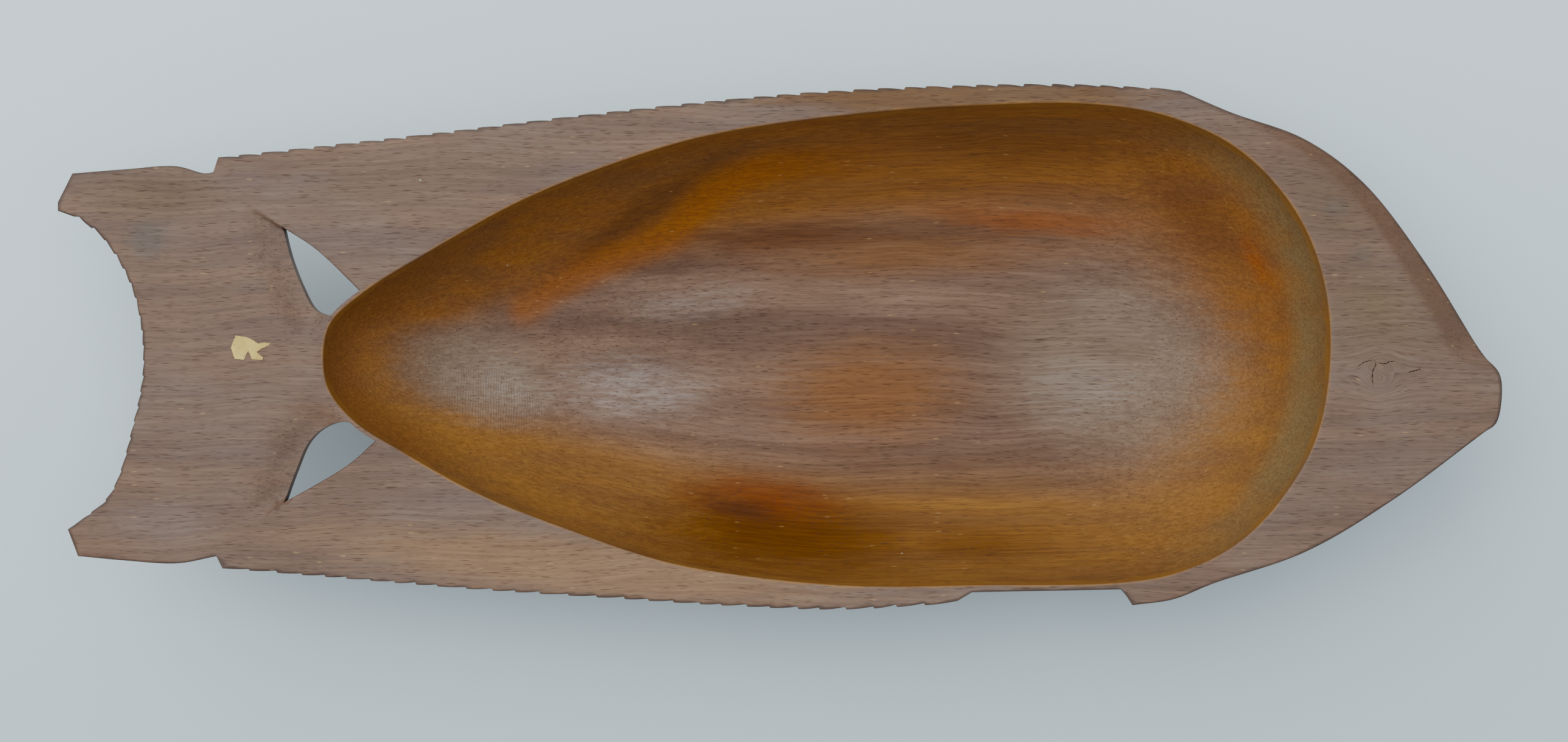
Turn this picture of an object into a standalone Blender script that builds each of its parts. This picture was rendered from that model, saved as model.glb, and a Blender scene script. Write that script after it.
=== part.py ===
"""A fish-shaped food bowl carved from one block of dense tropical hardwood, with a torn paper label on its tail.

The snout points along +X and the back fin along +Y. The bowl stands on the oval flat of its hull at z = 0,
and the origin is under the middle of its outline.
"""

import bmesh
import bpy
import numpy as np

# Overall sizes, in metres.
LENGTH = 0.500
WIDTH = 0.182
HEIGHT = 0.066

# Fins, tail and head: one flat plate round the bowl's rim, with its lower edge trimmed back all round.
PLATE_THICKNESS = 0.010
PLATE_UNDERCUT = 0.0025

# The hollow and the hull round it.
RIM_LIP = 0.0025
OPENING_LIP = 0.0015
FLOOR_THICKNESS = 0.010
FLOOR_LENGTH = 0.220
FLOOR_WIDTH = 0.050
FLOOR_X = 0.020
FLOOR_DISH = 0.001
FLOOR_RISE = 0.012
BASE_LENGTH = 0.160
BASE_WIDTH = 0.062
BASE_X = 0.032
HOLLOW_SQUARENESS = 1.75
HULL_SQUARENESS = 2.1

# Notches cut along the edges. Each tooth falls away from its tail end to its head end.
FIN_TOOTH = 0.0086
FIN_NOTCH_DEPTH = 0.0007
TAIL_TOOTH = 0.0057
TAIL_NOTCH_DEPTH = 0.0005

# The scrap of paper left of a label, which lies on the tail.
LABEL_THICKNESS = 0.0003
LABEL_GAP = 0.0003

# Colours and roughness of the two materials.
WOOD_COLOUR = (0.19, 0.085, 0.04)
WOOD_ROUGHNESS = 0.45
PAPER_COLOUR = (0.62, 0.47, 0.17)
PAPER_ROUGHNESS = 0.85

# Fineness of the faceting. The direction of a line is read over a reach each way: in teeth or in points.
RIM_SIDES = 112
WALL_RINGS = 11
FLOOR_SHARES = (0.75, 0.5, 0.25)
SPAN_POINTS = 24
OUTLINE_STEP = 0.006
OPENING_STEP = 0.003
TOOTH_STEPS = (0.0, 0.4, 0.75, 1.0)
TOOTH_REACH = 0.25
EDGE_REACH = 3
CUT_MARGIN = 0.004
SHARP_DEGREES = 30

# The plan, drawn in millimetres on a fish 500 long and 182 wide, and stretched to LENGTH and WIDTH.
DRAWN_SIZE = (500.0, 182.0)
TAIL_TOP = [(-245, 60), (-226, 61.5), (-209, 62.5), (-199, 60), (-196, 60.5)]
BACK_FIN = [(-195, 65.5), (-155, 70), (-113, 74.8), (-71, 80), (-29, 84.6), (13, 88.3), (55, 90.3), (97, 91), (137, 89.3)]
BROW = [(137, 89.3), (155.5, 81.5), (182, 72), (203, 56.5), (224, 29.5), (245, -4)]
SNOUT = [(245, -4), (249, -9), (250, -15), (248, -26.5), (244, -29.5)]
JAW = [(244, -29.5), (213, -52.5), (182, -71), (150, -82), (136, -87.5), (122, -89.5)]
GAP = [(118.5, -84), (66.5, -85)]
FIN_END = [(61.5, -88)]
BELLY_FIN = [(59.5, -89), (20, -91), (-18, -89.7), (-60, -87), (-102, -84.3), (-144.5, -80.8), (-193.5, -76.7)]
TAIL_BOTTOM = [(-195, -72.5), (-208.5, -75), (-227, -74), (-243, -72.5)]
LOWER_TIP = [(-246.5, -62.5)]
TAIL_CRESCENT = [(-243, -61), (-232, -51), (-224, -27), (-220.5, -4.5), (-224, 19), (-234, 37), (-243, 44.5)]
UPPER_TIP = [(-250, 47), (-250, 50)]
RIM_BACK = [(-158, -4), (-155.5, 8), (-143, 19.5), (-119.5, 34), (-89.5, 50.5), (-57, 63.5), (-25, 73), (26, 80.5)]
RIM_HEAD = [(69, 83.5), (106, 84), (133, 80), (157.5, 69), (175.5, 51), (186.5, 29), (190.5, 0), (185.5, -31.5)]
RIM_JAW = [(172.5, -54), (157, -69), (138, -78)]
RIM_BELLY = [(28, -82.8), (-9, -79.7), (-41, -74), (-73, -63.3), (-104, -51), (-132, -35.5), (-147, -26), (-156, -15)]
BACK_OPENING_EDGE = [(-172.5, 41.5), (-161, 34), (-149, 22.8), (-144.8, 18.5)]
BACK_OPENING_BOW = [(-147, 15.5), (-151.5, 11.8), (-157, 11), (-161.5, 13), (-166, 21), (-170, 31.5)]
BELLY_OPENING_EDGE = [(-172, -54), (-162, -48.5), (-149, -40.5), (-139.5, -32)]
BELLY_OPENING_BOW = [(-144, -28), (-151, -26), (-158, -28), (-163.5, -33), (-168, -43)]
LABEL = [(-188, 4), (-190, -0.5), (-188.5, -4.3), (-185.8, -4.3), (-184, -1.8), (-182.8, -4.5)]
LABEL += [(-179, -4.3), (-181.4, -2.2), (-176, 1.4), (-181.4, 1), (-184.7, 3.5)]


def clear_scene():
    for old in list(bpy.data.objects):
        bpy.data.objects.remove(old)


def stretched(points):
    """Plan points in metres, stretched from the drawn size to LENGTH and WIDTH."""
    return np.array(points, float) / DRAWN_SIZE * (LENGTH, WIDTH)


def curve_through(points, closed=False):
    """A dense centripetal Catmull-Rom curve through the points: it never loops or overshoots between them."""
    if closed:
        points = np.vstack([points[-1:], points, points[:2]])
    else:
        points = np.vstack([2 * points[:1] - points[1:2], points, 2 * points[-1:] - points[-2:-1]])
    spans = []
    for p0, p1, p2, p3 in zip(points, points[1:], points[2:], points[3:]):
        knots = np.cumsum([0.0] + [np.linalg.norm(b - a) ** 0.5 for a, b in ((p0, p1), (p1, p2), (p2, p3))])
        t = np.linspace(knots[1], knots[2], SPAN_POINTS, endpoint=False)[:, None]
        a1 = blend(p0, p1, knots[0], knots[1], t)
        a2 = blend(p1, p2, knots[1], knots[2], t)
        a3 = blend(p2, p3, knots[2], knots[3], t)
        b1 = blend(a1, a2, knots[0], knots[2], t)
        b2 = blend(a2, a3, knots[1], knots[3], t)
        spans.append(blend(b1, b2, knots[1], knots[2], t))
    spans.append(points[-2:-1])
    return np.vstack(spans)


def blend(start, end, start_knot, end_knot, t):
    share = (t - start_knot) / (end_knot - start_knot)
    return start * (1 - share) + end * share


def walked(curve):
    """How far along the curve each of its points is."""
    return np.concatenate([[0.0], np.cumsum(np.linalg.norm(np.diff(curve, axis=0), axis=1))])


def points_at(curve, distances):
    along = walked(curve)
    return np.stack([np.interp(distances, along, curve[:, axis]) for axis in (0, 1)], axis=1)


def evenly(curve, step):
    """The curve as points about a step apart, with both its ends."""
    length = walked(curve)[-1]
    return points_at(curve, np.linspace(0, length, max(2, round(length / step) + 1)))


def toothed(curve, tooth, depth, inward_side):
    """The curve with teeth cut into it. A tooth starts on the curve and sinks by depth times the square of its share."""
    length = walked(curve)[-1]
    count = max(1, round(length / tooth))
    share = np.tile(TOOTH_STEPS, count)
    start = np.repeat(np.arange(count), len(TOOTH_STEPS))
    distance = (start + share) * length / count
    reach = tooth * TOOTH_REACH
    run = points_at(curve, distance + reach) - points_at(curve, distance - reach)
    run /= np.linalg.norm(run, axis=1)[:, None]
    inward = np.stack([-run[:, 1], run[:, 0]], axis=1) * inward_side
    return points_at(curve, distance) + inward * (depth * share**2)[:, None]


def fish_outline():
    """The edge of the plate, clockwise from the tail's upper corner. The teeth run from the tail to the head."""
    belly = curve_through(stretched(BELLY_FIN))[::-1]
    back_teeth = toothed(curve_through(stretched(BACK_FIN)), FIN_TOOTH, FIN_NOTCH_DEPTH, -1)
    belly_teeth = toothed(belly, FIN_TOOTH, FIN_NOTCH_DEPTH, 1)[::-1]
    tail_teeth = toothed(curve_through(stretched(TAIL_CRESCENT)), TAIL_TOOTH, TAIL_NOTCH_DEPTH, -1)
    runs = [
        evenly(curve_through(stretched(TAIL_TOP)), OUTLINE_STEP),
        back_teeth,
        evenly(curve_through(stretched(BROW)), OUTLINE_STEP)[1:],
        evenly(curve_through(stretched(SNOUT)), OUTLINE_STEP)[1:],
        evenly(curve_through(stretched(JAW)), OUTLINE_STEP)[1:],
        stretched(GAP),
        stretched(FIN_END),
        belly_teeth,
        evenly(curve_through(stretched(TAIL_BOTTOM)), OUTLINE_STEP),
        stretched(LOWER_TIP),
        tail_teeth,
        stretched(UPPER_TIP),
    ]
    return np.vstack(runs)


def rim_line():
    """The hollow's rim, clockwise from its tail end. Along the gap it keeps a lip's width from the fish's edge."""
    gap = stretched(GAP) + (0, RIM_LIP)
    drawn = [stretched(RIM_BACK), stretched(RIM_HEAD), stretched(RIM_JAW), gap, stretched(RIM_BELLY)]
    curve = curve_through(np.vstack(drawn), closed=True)
    length = walked(curve)[-1]
    return points_at(curve, np.arange(RIM_SIDES) * length / RIM_SIDES)


def offset_outward(ring, distance):
    """A clockwise ring moved outwards, square to its own run."""
    run = np.roll(ring, -1, axis=0) - np.roll(ring, 1, axis=0)
    run /= np.linalg.norm(run, axis=1)[:, None]
    return ring + np.stack([-run[:, 1], run[:, 0]], axis=1) * distance


def oval_like(ring, middle_x, length, width):
    """An oval with one point for each of the ring's, in the same directions from the oval's middle."""
    across = (ring - (middle_x, 0)) / (LENGTH / 2, WIDTH / 2)
    angle = np.arctan2(across[:, 1], across[:, 0])
    return np.stack([middle_x + np.cos(angle) * length / 2, np.sin(angle) * width / 2], axis=1)


def floor_lift(ring):
    """How far the hollow's floor has risen: by the square of the share of the way from its middle to its tail end."""
    share = np.clip((FLOOR_X - ring[:, 0]) / (FLOOR_LENGTH / 2), 0, 1)
    return FLOOR_RISE * share**2


def at_height(ring, z):
    """A ring of plan points at one height, or at a height for each point."""
    return np.column_stack([ring, np.broadcast_to(z, len(ring))])


def bowl_rings(top_ring, bottom_ring, top_z, bottom_z, squareness):
    """Rings from a bowl's top to its bottom: each wall line is a quarter of a superellipse."""
    turn = np.linspace(0, np.pi / 2, WALL_RINGS)
    inward = 1 - np.cos(turn) ** (2 / squareness)
    inward[-1] = 1.0
    drop = np.sin(turn) ** (2 / squareness)
    rings = []
    for share, fall in zip(inward, drop):
        rings.append(at_height(top_ring * (1 - share) + bottom_ring * share, top_z + (bottom_z - top_z) * fall))
    return rings


def solid_from_rings(name, rings, tip=None):
    """A closed mesh through clockwise rings from the highest to the lowest, with flat ends or a pointed lower end."""
    shape = bmesh.new()
    loops = [[shape.verts.new(point) for point in ring] for ring in rings]
    count = len(loops[0])
    shape.faces.new(reversed(loops[0]))
    for upper, lower in zip(loops, loops[1:]):
        for i in range(count):
            j = (i + 1) % count
            shape.faces.new((upper[i], upper[j], lower[j], lower[i]))
    if tip is None:
        shape.faces.new(loops[-1])
    else:
        point = shape.verts.new(tip)
        for i in range(count):
            shape.faces.new((loops[-1][i], loops[-1][(i + 1) % count], point))
    mesh = bpy.data.meshes.new(name)
    shape.to_mesh(mesh)
    shape.free()
    made = bpy.data.objects.new(name, mesh)
    bpy.context.scene.collection.objects.link(made)
    return made


def fish_plate():
    """The flat fish: its lower edge is drawn in by the undercut."""
    edge = fish_outline()
    run = np.roll(edge, -EDGE_REACH, axis=0) - np.roll(edge, EDGE_REACH, axis=0)
    run /= np.linalg.norm(run, axis=1)[:, None]
    under = edge - np.stack([-run[:, 1], run[:, 0]], axis=1) * PLATE_UNDERCUT
    return solid_from_rings("carved_body", [at_height(edge, HEIGHT), at_height(under, HEIGHT - PLATE_THICKNESS)])


def hull_block(rim):
    """The solid hull below the plate, from the middle of the plate's thickness to the flat that it stands on."""
    top = offset_outward(rim, RIM_LIP)
    base = oval_like(rim, BASE_X, BASE_LENGTH, BASE_WIDTH)
    return solid_from_rings("hull_block", bowl_rings(top, base, HEIGHT - PLATE_THICKNESS / 2, 0.0, HULL_SQUARENESS))


def hollow_cutter(rim):
    """The hollow: its wall, and a floor that is dished to its middle and rises towards the tail."""
    floor = oval_like(rim, FLOOR_X, FLOOR_LENGTH, FLOOR_WIDTH)
    rings = [at_height(rim, HEIGHT + CUT_MARGIN)]
    wall_foot = FLOOR_THICKNESS + FLOOR_DISH + floor_lift(floor)
    rings += bowl_rings(rim, floor, HEIGHT, wall_foot, HOLLOW_SQUARENESS)
    middle = np.array([FLOOR_X, 0.0])
    for share in FLOOR_SHARES:
        ring = middle + (floor - middle) * share
        dish = FLOOR_DISH * (2 * share**2 - share**4)
        rings.append(at_height(ring, FLOOR_THICKNESS + dish + floor_lift(ring)))
    return solid_from_rings("hollow_cutter", rings, tip=(*middle, FLOOR_THICKNESS))


def lip_guard(rim):
    """What no opening may cut into: the hollow and a thin lip round it."""
    ring = offset_outward(rim, OPENING_LIP)
    return solid_from_rings("lip_guard", [at_height(ring, HEIGHT + 2 * CUT_MARGIN), at_height(ring, -2 * CUT_MARGIN)])


def opening_cutter(name, edge, bow, clockwise, guard):
    """A pierced opening: a straight edge along the fin and a bow round the end of the hull, cut from top to bottom."""
    straight = evenly(curve_through(stretched(edge)), OPENING_STEP)
    round_side = evenly(curve_through(stretched([edge[-1], *bow, edge[0]])), OPENING_STEP)[1:-1]
    ring = np.vstack([straight, round_side])
    if not clockwise:
        ring = ring[::-1]
    cutter = solid_from_rings(name, [at_height(ring, HEIGHT + CUT_MARGIN), at_height(ring, -CUT_MARGIN)])
    cut_or_join(cutter, guard, "DIFFERENCE")
    return cutter


def cut_or_join(piece, other, operation):
    other.hide_render = True
    other.display_type = "WIRE"
    step = piece.modifiers.new(f"{operation.lower()}_{other.name}", "BOOLEAN")
    step.operation = operation
    step.solver = "EXACT"
    step.object = other


def finish(piece, colour, roughness):
    """Gives a piece its material, and smooth shading everywhere but at its carved edges."""
    material = bpy.data.materials.new(piece.name)
    material.use_nodes = True
    shader = material.node_tree.nodes["Principled BSDF"]
    shader.inputs["Base Color"].default_value = (*colour, 1.0)
    shader.inputs["Roughness"].default_value = roughness
    shader.inputs["Metallic"].default_value = 0.0
    piece.data.materials.append(material)
    piece.data.shade_smooth()
    piece.data.set_sharp_from_angle(angle=np.radians(SHARP_DEGREES))


def make_carved_body():
    rim = rim_line()
    body = fish_plate()
    cut_or_join(body, hull_block(rim), "UNION")
    cut_or_join(body, hollow_cutter(rim), "DIFFERENCE")
    guard = lip_guard(rim)
    back = opening_cutter("back_opening", BACK_OPENING_EDGE, BACK_OPENING_BOW, True, guard)
    belly = opening_cutter("belly_opening", BELLY_OPENING_EDGE, BELLY_OPENING_BOW, False, guard)
    cut_or_join(body, back, "DIFFERENCE")
    cut_or_join(body, belly, "DIFFERENCE")
    finish(body, WOOD_COLOUR, WOOD_ROUGHNESS)


def make_label_scrap():
    under = HEIGHT + LABEL_GAP
    ring = stretched(LABEL)[::-1]
    label = solid_from_rings("label_scrap", [at_height(ring, under + LABEL_THICKNESS), at_height(ring, under)])
    finish(label, PAPER_COLOUR, PAPER_ROUGHNESS)


clear_scene()
make_carved_body()
make_label_scrap()
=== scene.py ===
"""A fish-shaped food bowl carved from one block of dark hardwood, with a torn scrap of paper on its tail.

The carving is one closed surface, worked out as rings that run round the fish: from the middle of the hollow
up its wall, over the rim, out across the fins, tail and head, round the notched edge and back under to the
foot of the hull. The pierced openings and the knot's cracks are then cut into it.
"""

import bpy
import numpy as np
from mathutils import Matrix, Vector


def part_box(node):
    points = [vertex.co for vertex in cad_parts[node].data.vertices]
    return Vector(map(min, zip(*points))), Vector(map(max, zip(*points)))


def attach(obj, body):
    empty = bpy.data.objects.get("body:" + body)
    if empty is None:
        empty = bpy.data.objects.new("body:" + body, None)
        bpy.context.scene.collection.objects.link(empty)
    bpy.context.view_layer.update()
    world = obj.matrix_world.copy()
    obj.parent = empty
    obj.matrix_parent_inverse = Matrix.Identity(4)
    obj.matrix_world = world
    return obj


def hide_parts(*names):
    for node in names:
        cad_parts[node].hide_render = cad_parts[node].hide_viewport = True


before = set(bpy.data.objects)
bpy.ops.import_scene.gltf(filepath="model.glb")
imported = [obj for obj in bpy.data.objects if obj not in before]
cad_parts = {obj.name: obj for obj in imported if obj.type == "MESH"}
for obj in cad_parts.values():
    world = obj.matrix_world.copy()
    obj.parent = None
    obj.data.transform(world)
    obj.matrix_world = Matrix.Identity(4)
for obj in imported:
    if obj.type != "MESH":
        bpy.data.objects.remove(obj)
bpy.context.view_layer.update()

bl_info = {
    "name": "Carved fish bowl",
    "version": (1, 0, 0),
    "blender": (4, 5, 0),
    "location": "View3D > Sidebar > Fish Bowl",
    "description": "Carves a wooden fish bowl, pastes its label scrap and sets it on a pale table",
    "category": "Add Mesh",
}

BODY_LOW, BODY_HIGH = (np.array(corner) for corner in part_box("carved_body"))
TOP = BODY_HIGH[2]
MM = 0.001

# The plan, drawn in millimetres on a fish 500 long and 182 wide, clockwise from the tail's upper corner.
DRAWN_SIZE = np.array([500.0, 182.0])
TAIL_TOP = [(-245, 60), (-226, 61.5), (-209, 62.5), (-199, 60), (-196, 60.5)]
BACK_FIN = [
    (-195, 65.5), (-155, 70), (-113, 74.8), (-71, 80), (-29, 84.6), (13, 88.3), (55, 90.3), (97, 91),
    (137, 89.3)]
BROW = [(137, 89.3), (155.5, 81.5), (182, 72), (203, 56.5), (224, 29.5), (245, -4)]
SNOUT = [(245, -4), (249, -9), (250, -15), (248, -26.5), (244, -29.5)]
JAW = [(244, -29.5), (213, -52.5), (182, -71), (150, -82), (136, -87.5), (122, -89.5)]
GAP = [(118.5, -84), (66.5, -85)]
FIN_END = [(61.5, -88)]
BELLY_FIN = [
    (59.5, -89), (20, -91), (-18, -89.7), (-60, -87), (-102, -84.3), (-144.5, -80.8), (-193.5, -76.7)]
TAIL_BOTTOM = [(-195, -72.5), (-208.5, -75), (-227, -74), (-243, -72.5)]
LOWER_TIP = [(-246.5, -63.2)]
TAIL_CRESCENT = [
    (-243, -60.8), (-232, -51), (-224, -27), (-220.5, -4.5), (-224, 19), (-234, 37), (-243, 44.5)]
UPPER_TIP = [(-250, 47), (-250, 50)]
RIM_BACK = [
    (-158, -4), (-155.5, 8), (-143, 19.5), (-119.5, 34), (-89.5, 50.5), (-57, 63.5), (-25, 73), (26, 80.5)]
RIM_HEAD = [
    (69, 83.5), (106, 84), (133, 80), (157.5, 69), (175.5, 51), (186.5, 29), (190.5, 0), (185.5, -31.5)]
RIM_JAW = [(172.5, -54), (157, -69), (138, -78)]
RIM_BELLY = [
    (28, -82.8), (-9, -79.7), (-41, -74), (-73, -63.3), (-104, -51), (-132, -35.5), (-147, -26),
    (-156, -15)]
BACK_OPENING_EDGE = [(-172.5, 41.5), (-161, 34), (-149, 22.8), (-144.8, 18.5)]
BACK_OPENING_BOW = [
    (-144.8, 18.5), (-147, 15.5), (-151.5, 11.8), (-157, 11), (-161.5, 13), (-166, 21), (-170, 31.5)]
BELLY_OPENING_EDGE = [(-172, -54), (-162, -48.5), (-149, -40.5), (-139.5, -32)]
BELLY_OPENING_BOW = [(-139.5, -32), (-144, -28), (-151, -26), (-158, -28), (-163.5, -33), (-168, -43)]
LABEL_EDGE = [
    (-188.2, 3.9), (-186, 3.5), (-184, 3.1), (-182.2, 2.2), (-180.6, 1.1), (-178.3, 1.4), (-176.2, 1.2),
    (-177, 0.3), (-179.2, -0.6), (-180.7, -1.6), (-180.8, -2.1), (-178.7, -3.7), (-178.9, -4.6),
    (-182.6, -4.3), (-183.4, -2.3), (-183.9, -1.5), (-184.6, -2.6), (-185.4, -4.5), (-188.5, -4.2),
    (-189.4, -1.7), (-189.9, -0.3)]
LABEL_MIDDLE = (-184.5, 0.2)

# The knot's middle and the cracks in the head, in the same drawn millimetres: the points that each crack
# runs through, its width and its depth.
KNOT = (207.4, -8.9)
KNOT_CRACKS = [
    ([(205.7, -4.3), (206.1, -6.2), (205.1, -8.4), (205, -11), (205.2, -14)], 0.34, 1.4),
    ([(199.6, -7), (202, -5.4), (204.2, -4.8), (205.4, -4.6)], 0.22, 0.8),
    ([(206.6, -5.4), (208.4, -5.9), (209.8, -5.8), (210.8, -5.2), (213, -5)], 0.3, 1.0),
    ([(217, -8.9), (219.4, -8.4), (222.2, -7.6)], 0.42, 1.2)]

# The middle of the streak of painted highlight down the hollow's back wall: a bright orange reflection band.
STREAK = [
    (-92, 14), (-76, 24.5), (-51, 35.7), (-38, 42), (-28.5, 51), (-19.5, 58), (-6, 63.5), (12, 66),
    (58, 67)]

# The middle line that the rings go round, from the tail end of the hollow to its head end, the corner that the
# track turns about it, and how far places are eased along it.
TRACK_TAIL = -120 * MM
TRACK_HEAD = 110 * MM
TRACK_Y = 10 * MM
TRACK_CORNER = 90 * MM
EASE_REACH = 16 * MM
# The smooth ring inside the outline: how far the outline is averaged each way, and how far in it lies.
GUIDE_REACH = 7 * MM
GUIDE_WIDTH = 3.2 * MM

# How finely curves are followed, and how many points are measured at a time.
CURVE_STEPS = 24
EASE_STEPS = 21
GUIDE_STEPS = 17
PLAIN_STEP = 1.6 * MM
BATCH = 4000

# Rings in each stretch of the carving, from the middle of the hollow to the middle of the foot.
FLOOR_RINGS = 8
WALL_RINGS = 30
ROUND_RINGS = 4
TOP_RINGS = 20
EDGE_RINGS = 5
SIDE_RINGS = 4
UNDER_RINGS = 8
HULL_RINGS = 26
FOOT_RINGS = 3
# How large the innermost and outermost rings of the floor and the foot are, as shares of their ovals.
FLOOR_SHARES = (0.06, 0.94)
FOOT_SHARES = (0.8, 0.15)

# The points of a tooth, as shares of its length, and how far teeth and notches stray from each other.
TOOTH_STEPS = (0.0, 0.25, 0.5, 0.75, 1.0)
TOOTH_STRAY = 0.16
NOTCH_RANGE = (0.75, 1.3)
BACK_SEED, BELLY_SEED, TAIL_SEED = 3, 5, 8

# The smoothed gouge cuts in the hollow and the adze cuts outside it: how far apart they are across the
# grain, and how many times longer they are along it.
GOUGE_CUTS = {"seed": 21, "cell": 17 * MM, "grain": 1.7}
ADZE_CUTS = {"seed": 34, "cell": 15 * MM, "grain": 1.9}
CUTS_IN_A_CELL = 1.3
RIDGE_LEVEL = 1.2

# The top face's slow unevenness: its depth, then each wave's radians a metre along X and Y, and its start.
UNEVEN_DEPTH = 0.28 * MM
SLOW_WAVES = ((57, 31, 0.4), (-83, 96, 2.1), (121, -60, 4.0), (43, 190, 1.3))

# The facet along the brow, and the slopes beside the openings.
BROW_START_WIDTH = 2.5 * MM
BROW_GAIN = 8.5 * MM
BROW_SNOUT_POINTS = 30
SLOPE_DEPTH = 3.2 * MM
SLOPE_REACH = 17 * MM

# Under the plate: the least that its side is trimmed, the least step between two rings, the band kept at its
# lower edge, and the largest fillet where it meets the hull.
LEAST_TRIM = 0.2 * MM
LEAST_STEP = 0.02 * MM
EDGE_BAND = 0.6 * MM
HULL_FILLET = 4 * MM

# A crack's wedge: how far it stands over the top and reaches under it beside its own depth, and its waver.
CRACK_STEP = 0.25 * MM
CRACK_OVER = 0.3
CRACK_UNDER = 0.6
CRACK_ENDS = 0.1
CRACK_WAVES = 31

# The paper scrap: rings on each face, how ragged its torn edge is in millimetres, and how it curls.
LABEL_RINGS = 14
LABEL_SEED = 12
LABEL_STEP = 0.3 * MM
LABEL_RAGGED = 0.06
LABEL_GAP = 0.05 * MM
CURL_REACH = 7 * MM
CURL_WAVES = 900


def length_setting(name, description, default):
    return bpy.props.FloatProperty(name=name, description=description, default=default, unit="LENGTH")


def power_setting(name, description, default):
    return bpy.props.FloatProperty(name=name, description=description, default=default, unit="POWER")


def colour_setting(name, description, default):
    return bpy.props.FloatVectorProperty(
        name=name, description=description, default=default, subtype="COLOR", min=0, max=1)


class CarvingSizes(bpy.types.PropertyGroup):
    """Sizes of the carving that a user may change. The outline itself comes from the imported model's box."""

    plate_thickness: length_setting("Plate Thickness", "Thickness of the fins, tail and head", 10 * MM)
    undercut: length_setting("Undercut", "How far the plate's lower edge is trimmed back", 2.5 * MM)
    rim_lip: length_setting("Rim Lip", "Width of the lip round the hollow", 2.5 * MM)
    opening_lip: length_setting(
        "Opening Lip", "Wood left between the hollow and a pierced opening", 1.5 * MM)
    floor_thickness: length_setting("Floor Thickness", "Wood under the hollow", 10 * MM)
    floor_dish: length_setting("Floor Dish", "How far the floor sinks to its middle", 1 * MM)
    floor_length: length_setting("Floor Length", "Length of the hollow's floor", 220 * MM)
    floor_width: length_setting("Floor Width", "Width of the hollow's floor", 50 * MM)
    floor_x: length_setting("Floor Place", "How far the floor's middle lies towards the head", 20 * MM)
    floor_rise: length_setting("Floor Rise", "How far the floor has risen at its tail end", 12 * MM)
    foot_length: length_setting("Foot Length", "Length of the flat that the hull stands on", 160 * MM)
    foot_width: length_setting("Foot Width", "Width of the flat that the hull stands on", 62 * MM)
    foot_x: length_setting("Foot Place", "How far the foot's middle lies towards the head", 32 * MM)
    hollow_squareness: bpy.props.FloatProperty(
        name="Hollow Squareness", description="2 is a round wall, more is a squarer one",
        default=1.75, min=1.5, max=4)
    hull_squareness: bpy.props.FloatProperty(
        name="Hull Squareness", description="2 is a round hull, more is a squarer one",
        default=2.1, min=1.5, max=4)
    fin_tooth: length_setting("Fin Tooth", "Length of one tooth along a fin", 8.6 * MM)
    fin_notch: length_setting("Fin Notch", "Depth of a notch in a fin's edge", 0.7 * MM)
    tail_tooth: length_setting("Tail Tooth", "Length of one tooth along the tail's hollow edge", 5.7 * MM)
    tail_notch: length_setting("Tail Notch", "Depth of a notch in the tail's edge", 0.5 * MM)
    tooth_slant: length_setting("Tooth Slant", "Length that the step between two teeth takes", 0.55 * MM)
    edge_round: length_setting("Edge Round", "How far handling has worn each edge down", 0.6 * MM)
    brow_slope: bpy.props.FloatProperty(
        name="Brow Slope", description="Fall of the facet along the brow, for each unit of its width",
        default=0.42)
    hollow_tool_marks: length_setting(
        "Hollow Tool Marks", "Depth of the smoothed gouge cuts in the hollow", 0.22 * MM)
    hull_tool_marks: length_setting("Hull Tool Marks", "Depth of the adze cuts outside the hull", 0.45 * MM)


class WoodFinish(bpy.types.PropertyGroup):
    """Colours and gloss of the hardwood."""

    heart: colour_setting("Heartwood", "Main colour of the worn flat faces", (0.22, 0.113, 0.060))
    deep: colour_setting("Dark Streaks", "Colour of the darker growth", (0.135, 0.068, 0.042))
    oiled: colour_setting("Oiled Wall", "Colour of the oiled back wall of the hollow", (0.31, 0.112, 0.012))
    ochre: colour_setting("Worn Ochre", "Colour of the belly wall and the worn rim", (0.33, 0.14, 0.022))
    # The floor's muted, greyer colour partly stands for painted sheen of the overhead light on the up-facing
    # floor.
    floor: colour_setting("Hollow Floor", "Colour of the hollow's floor", (0.275, 0.158, 0.10))
    olive: colour_setting("Olive Band", "Colour inside the head's rim", (0.24, 0.158, 0.066))
    pore: colour_setting("Pores", "Colour inside the open pores", (0.035, 0.016, 0.012))
    bloom: colour_setting("Dry Bloom", "Grey cast of the dry, handled faces", (0.235, 0.170, 0.137))
    roughness: bpy.props.FloatProperty(
        name="Roughness", description="Roughness of the worn faces", subtype="FACTOR", min=0, max=1,
        default=0.46)


class LabelFinish(bpy.types.PropertyGroup):
    """The paper scrap."""

    thickness: length_setting("Thickness", "Thickness of the paper", 0.12 * MM)
    curl: length_setting("Curl", "How far its torn points lift", 0.28 * MM)
    paper: colour_setting("Paper", "Colour of the aged paper", (0.78, 0.56, 0.13))


class StageSettings(bpy.types.PropertyGroup):
    """The table, the light and the camera."""

    table: colour_setting("Table", "Colour of the pale table", (0.82, 0.92, 0.95))
    camera_height: length_setting("Camera Height", "Height of the camera over the fins", 1.0)
    view_width: length_setting("View Width", "Width of the view at the fins' height", 0.5423)
    side_power: power_setting("Side Light", "Power of the broad light beyond the back fin", 32.0)
    top_power: power_setting("Top Light", "Power of the broad light overhead", 16.0)
    sky: bpy.props.FloatProperty(
        name="Sky Light", description="Strength of the light from all round", default=0.66)


# ---------------------------------------------------------------- curves in the plan


def stretched(points):
    """Drawn points as plan points in metres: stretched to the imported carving's own length and width."""
    size = (BODY_HIGH - BODY_LOW)[:2]
    middle = (BODY_HIGH + BODY_LOW)[:2] / 2
    return np.array(points, float) / DRAWN_SIZE * size + middle


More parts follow.
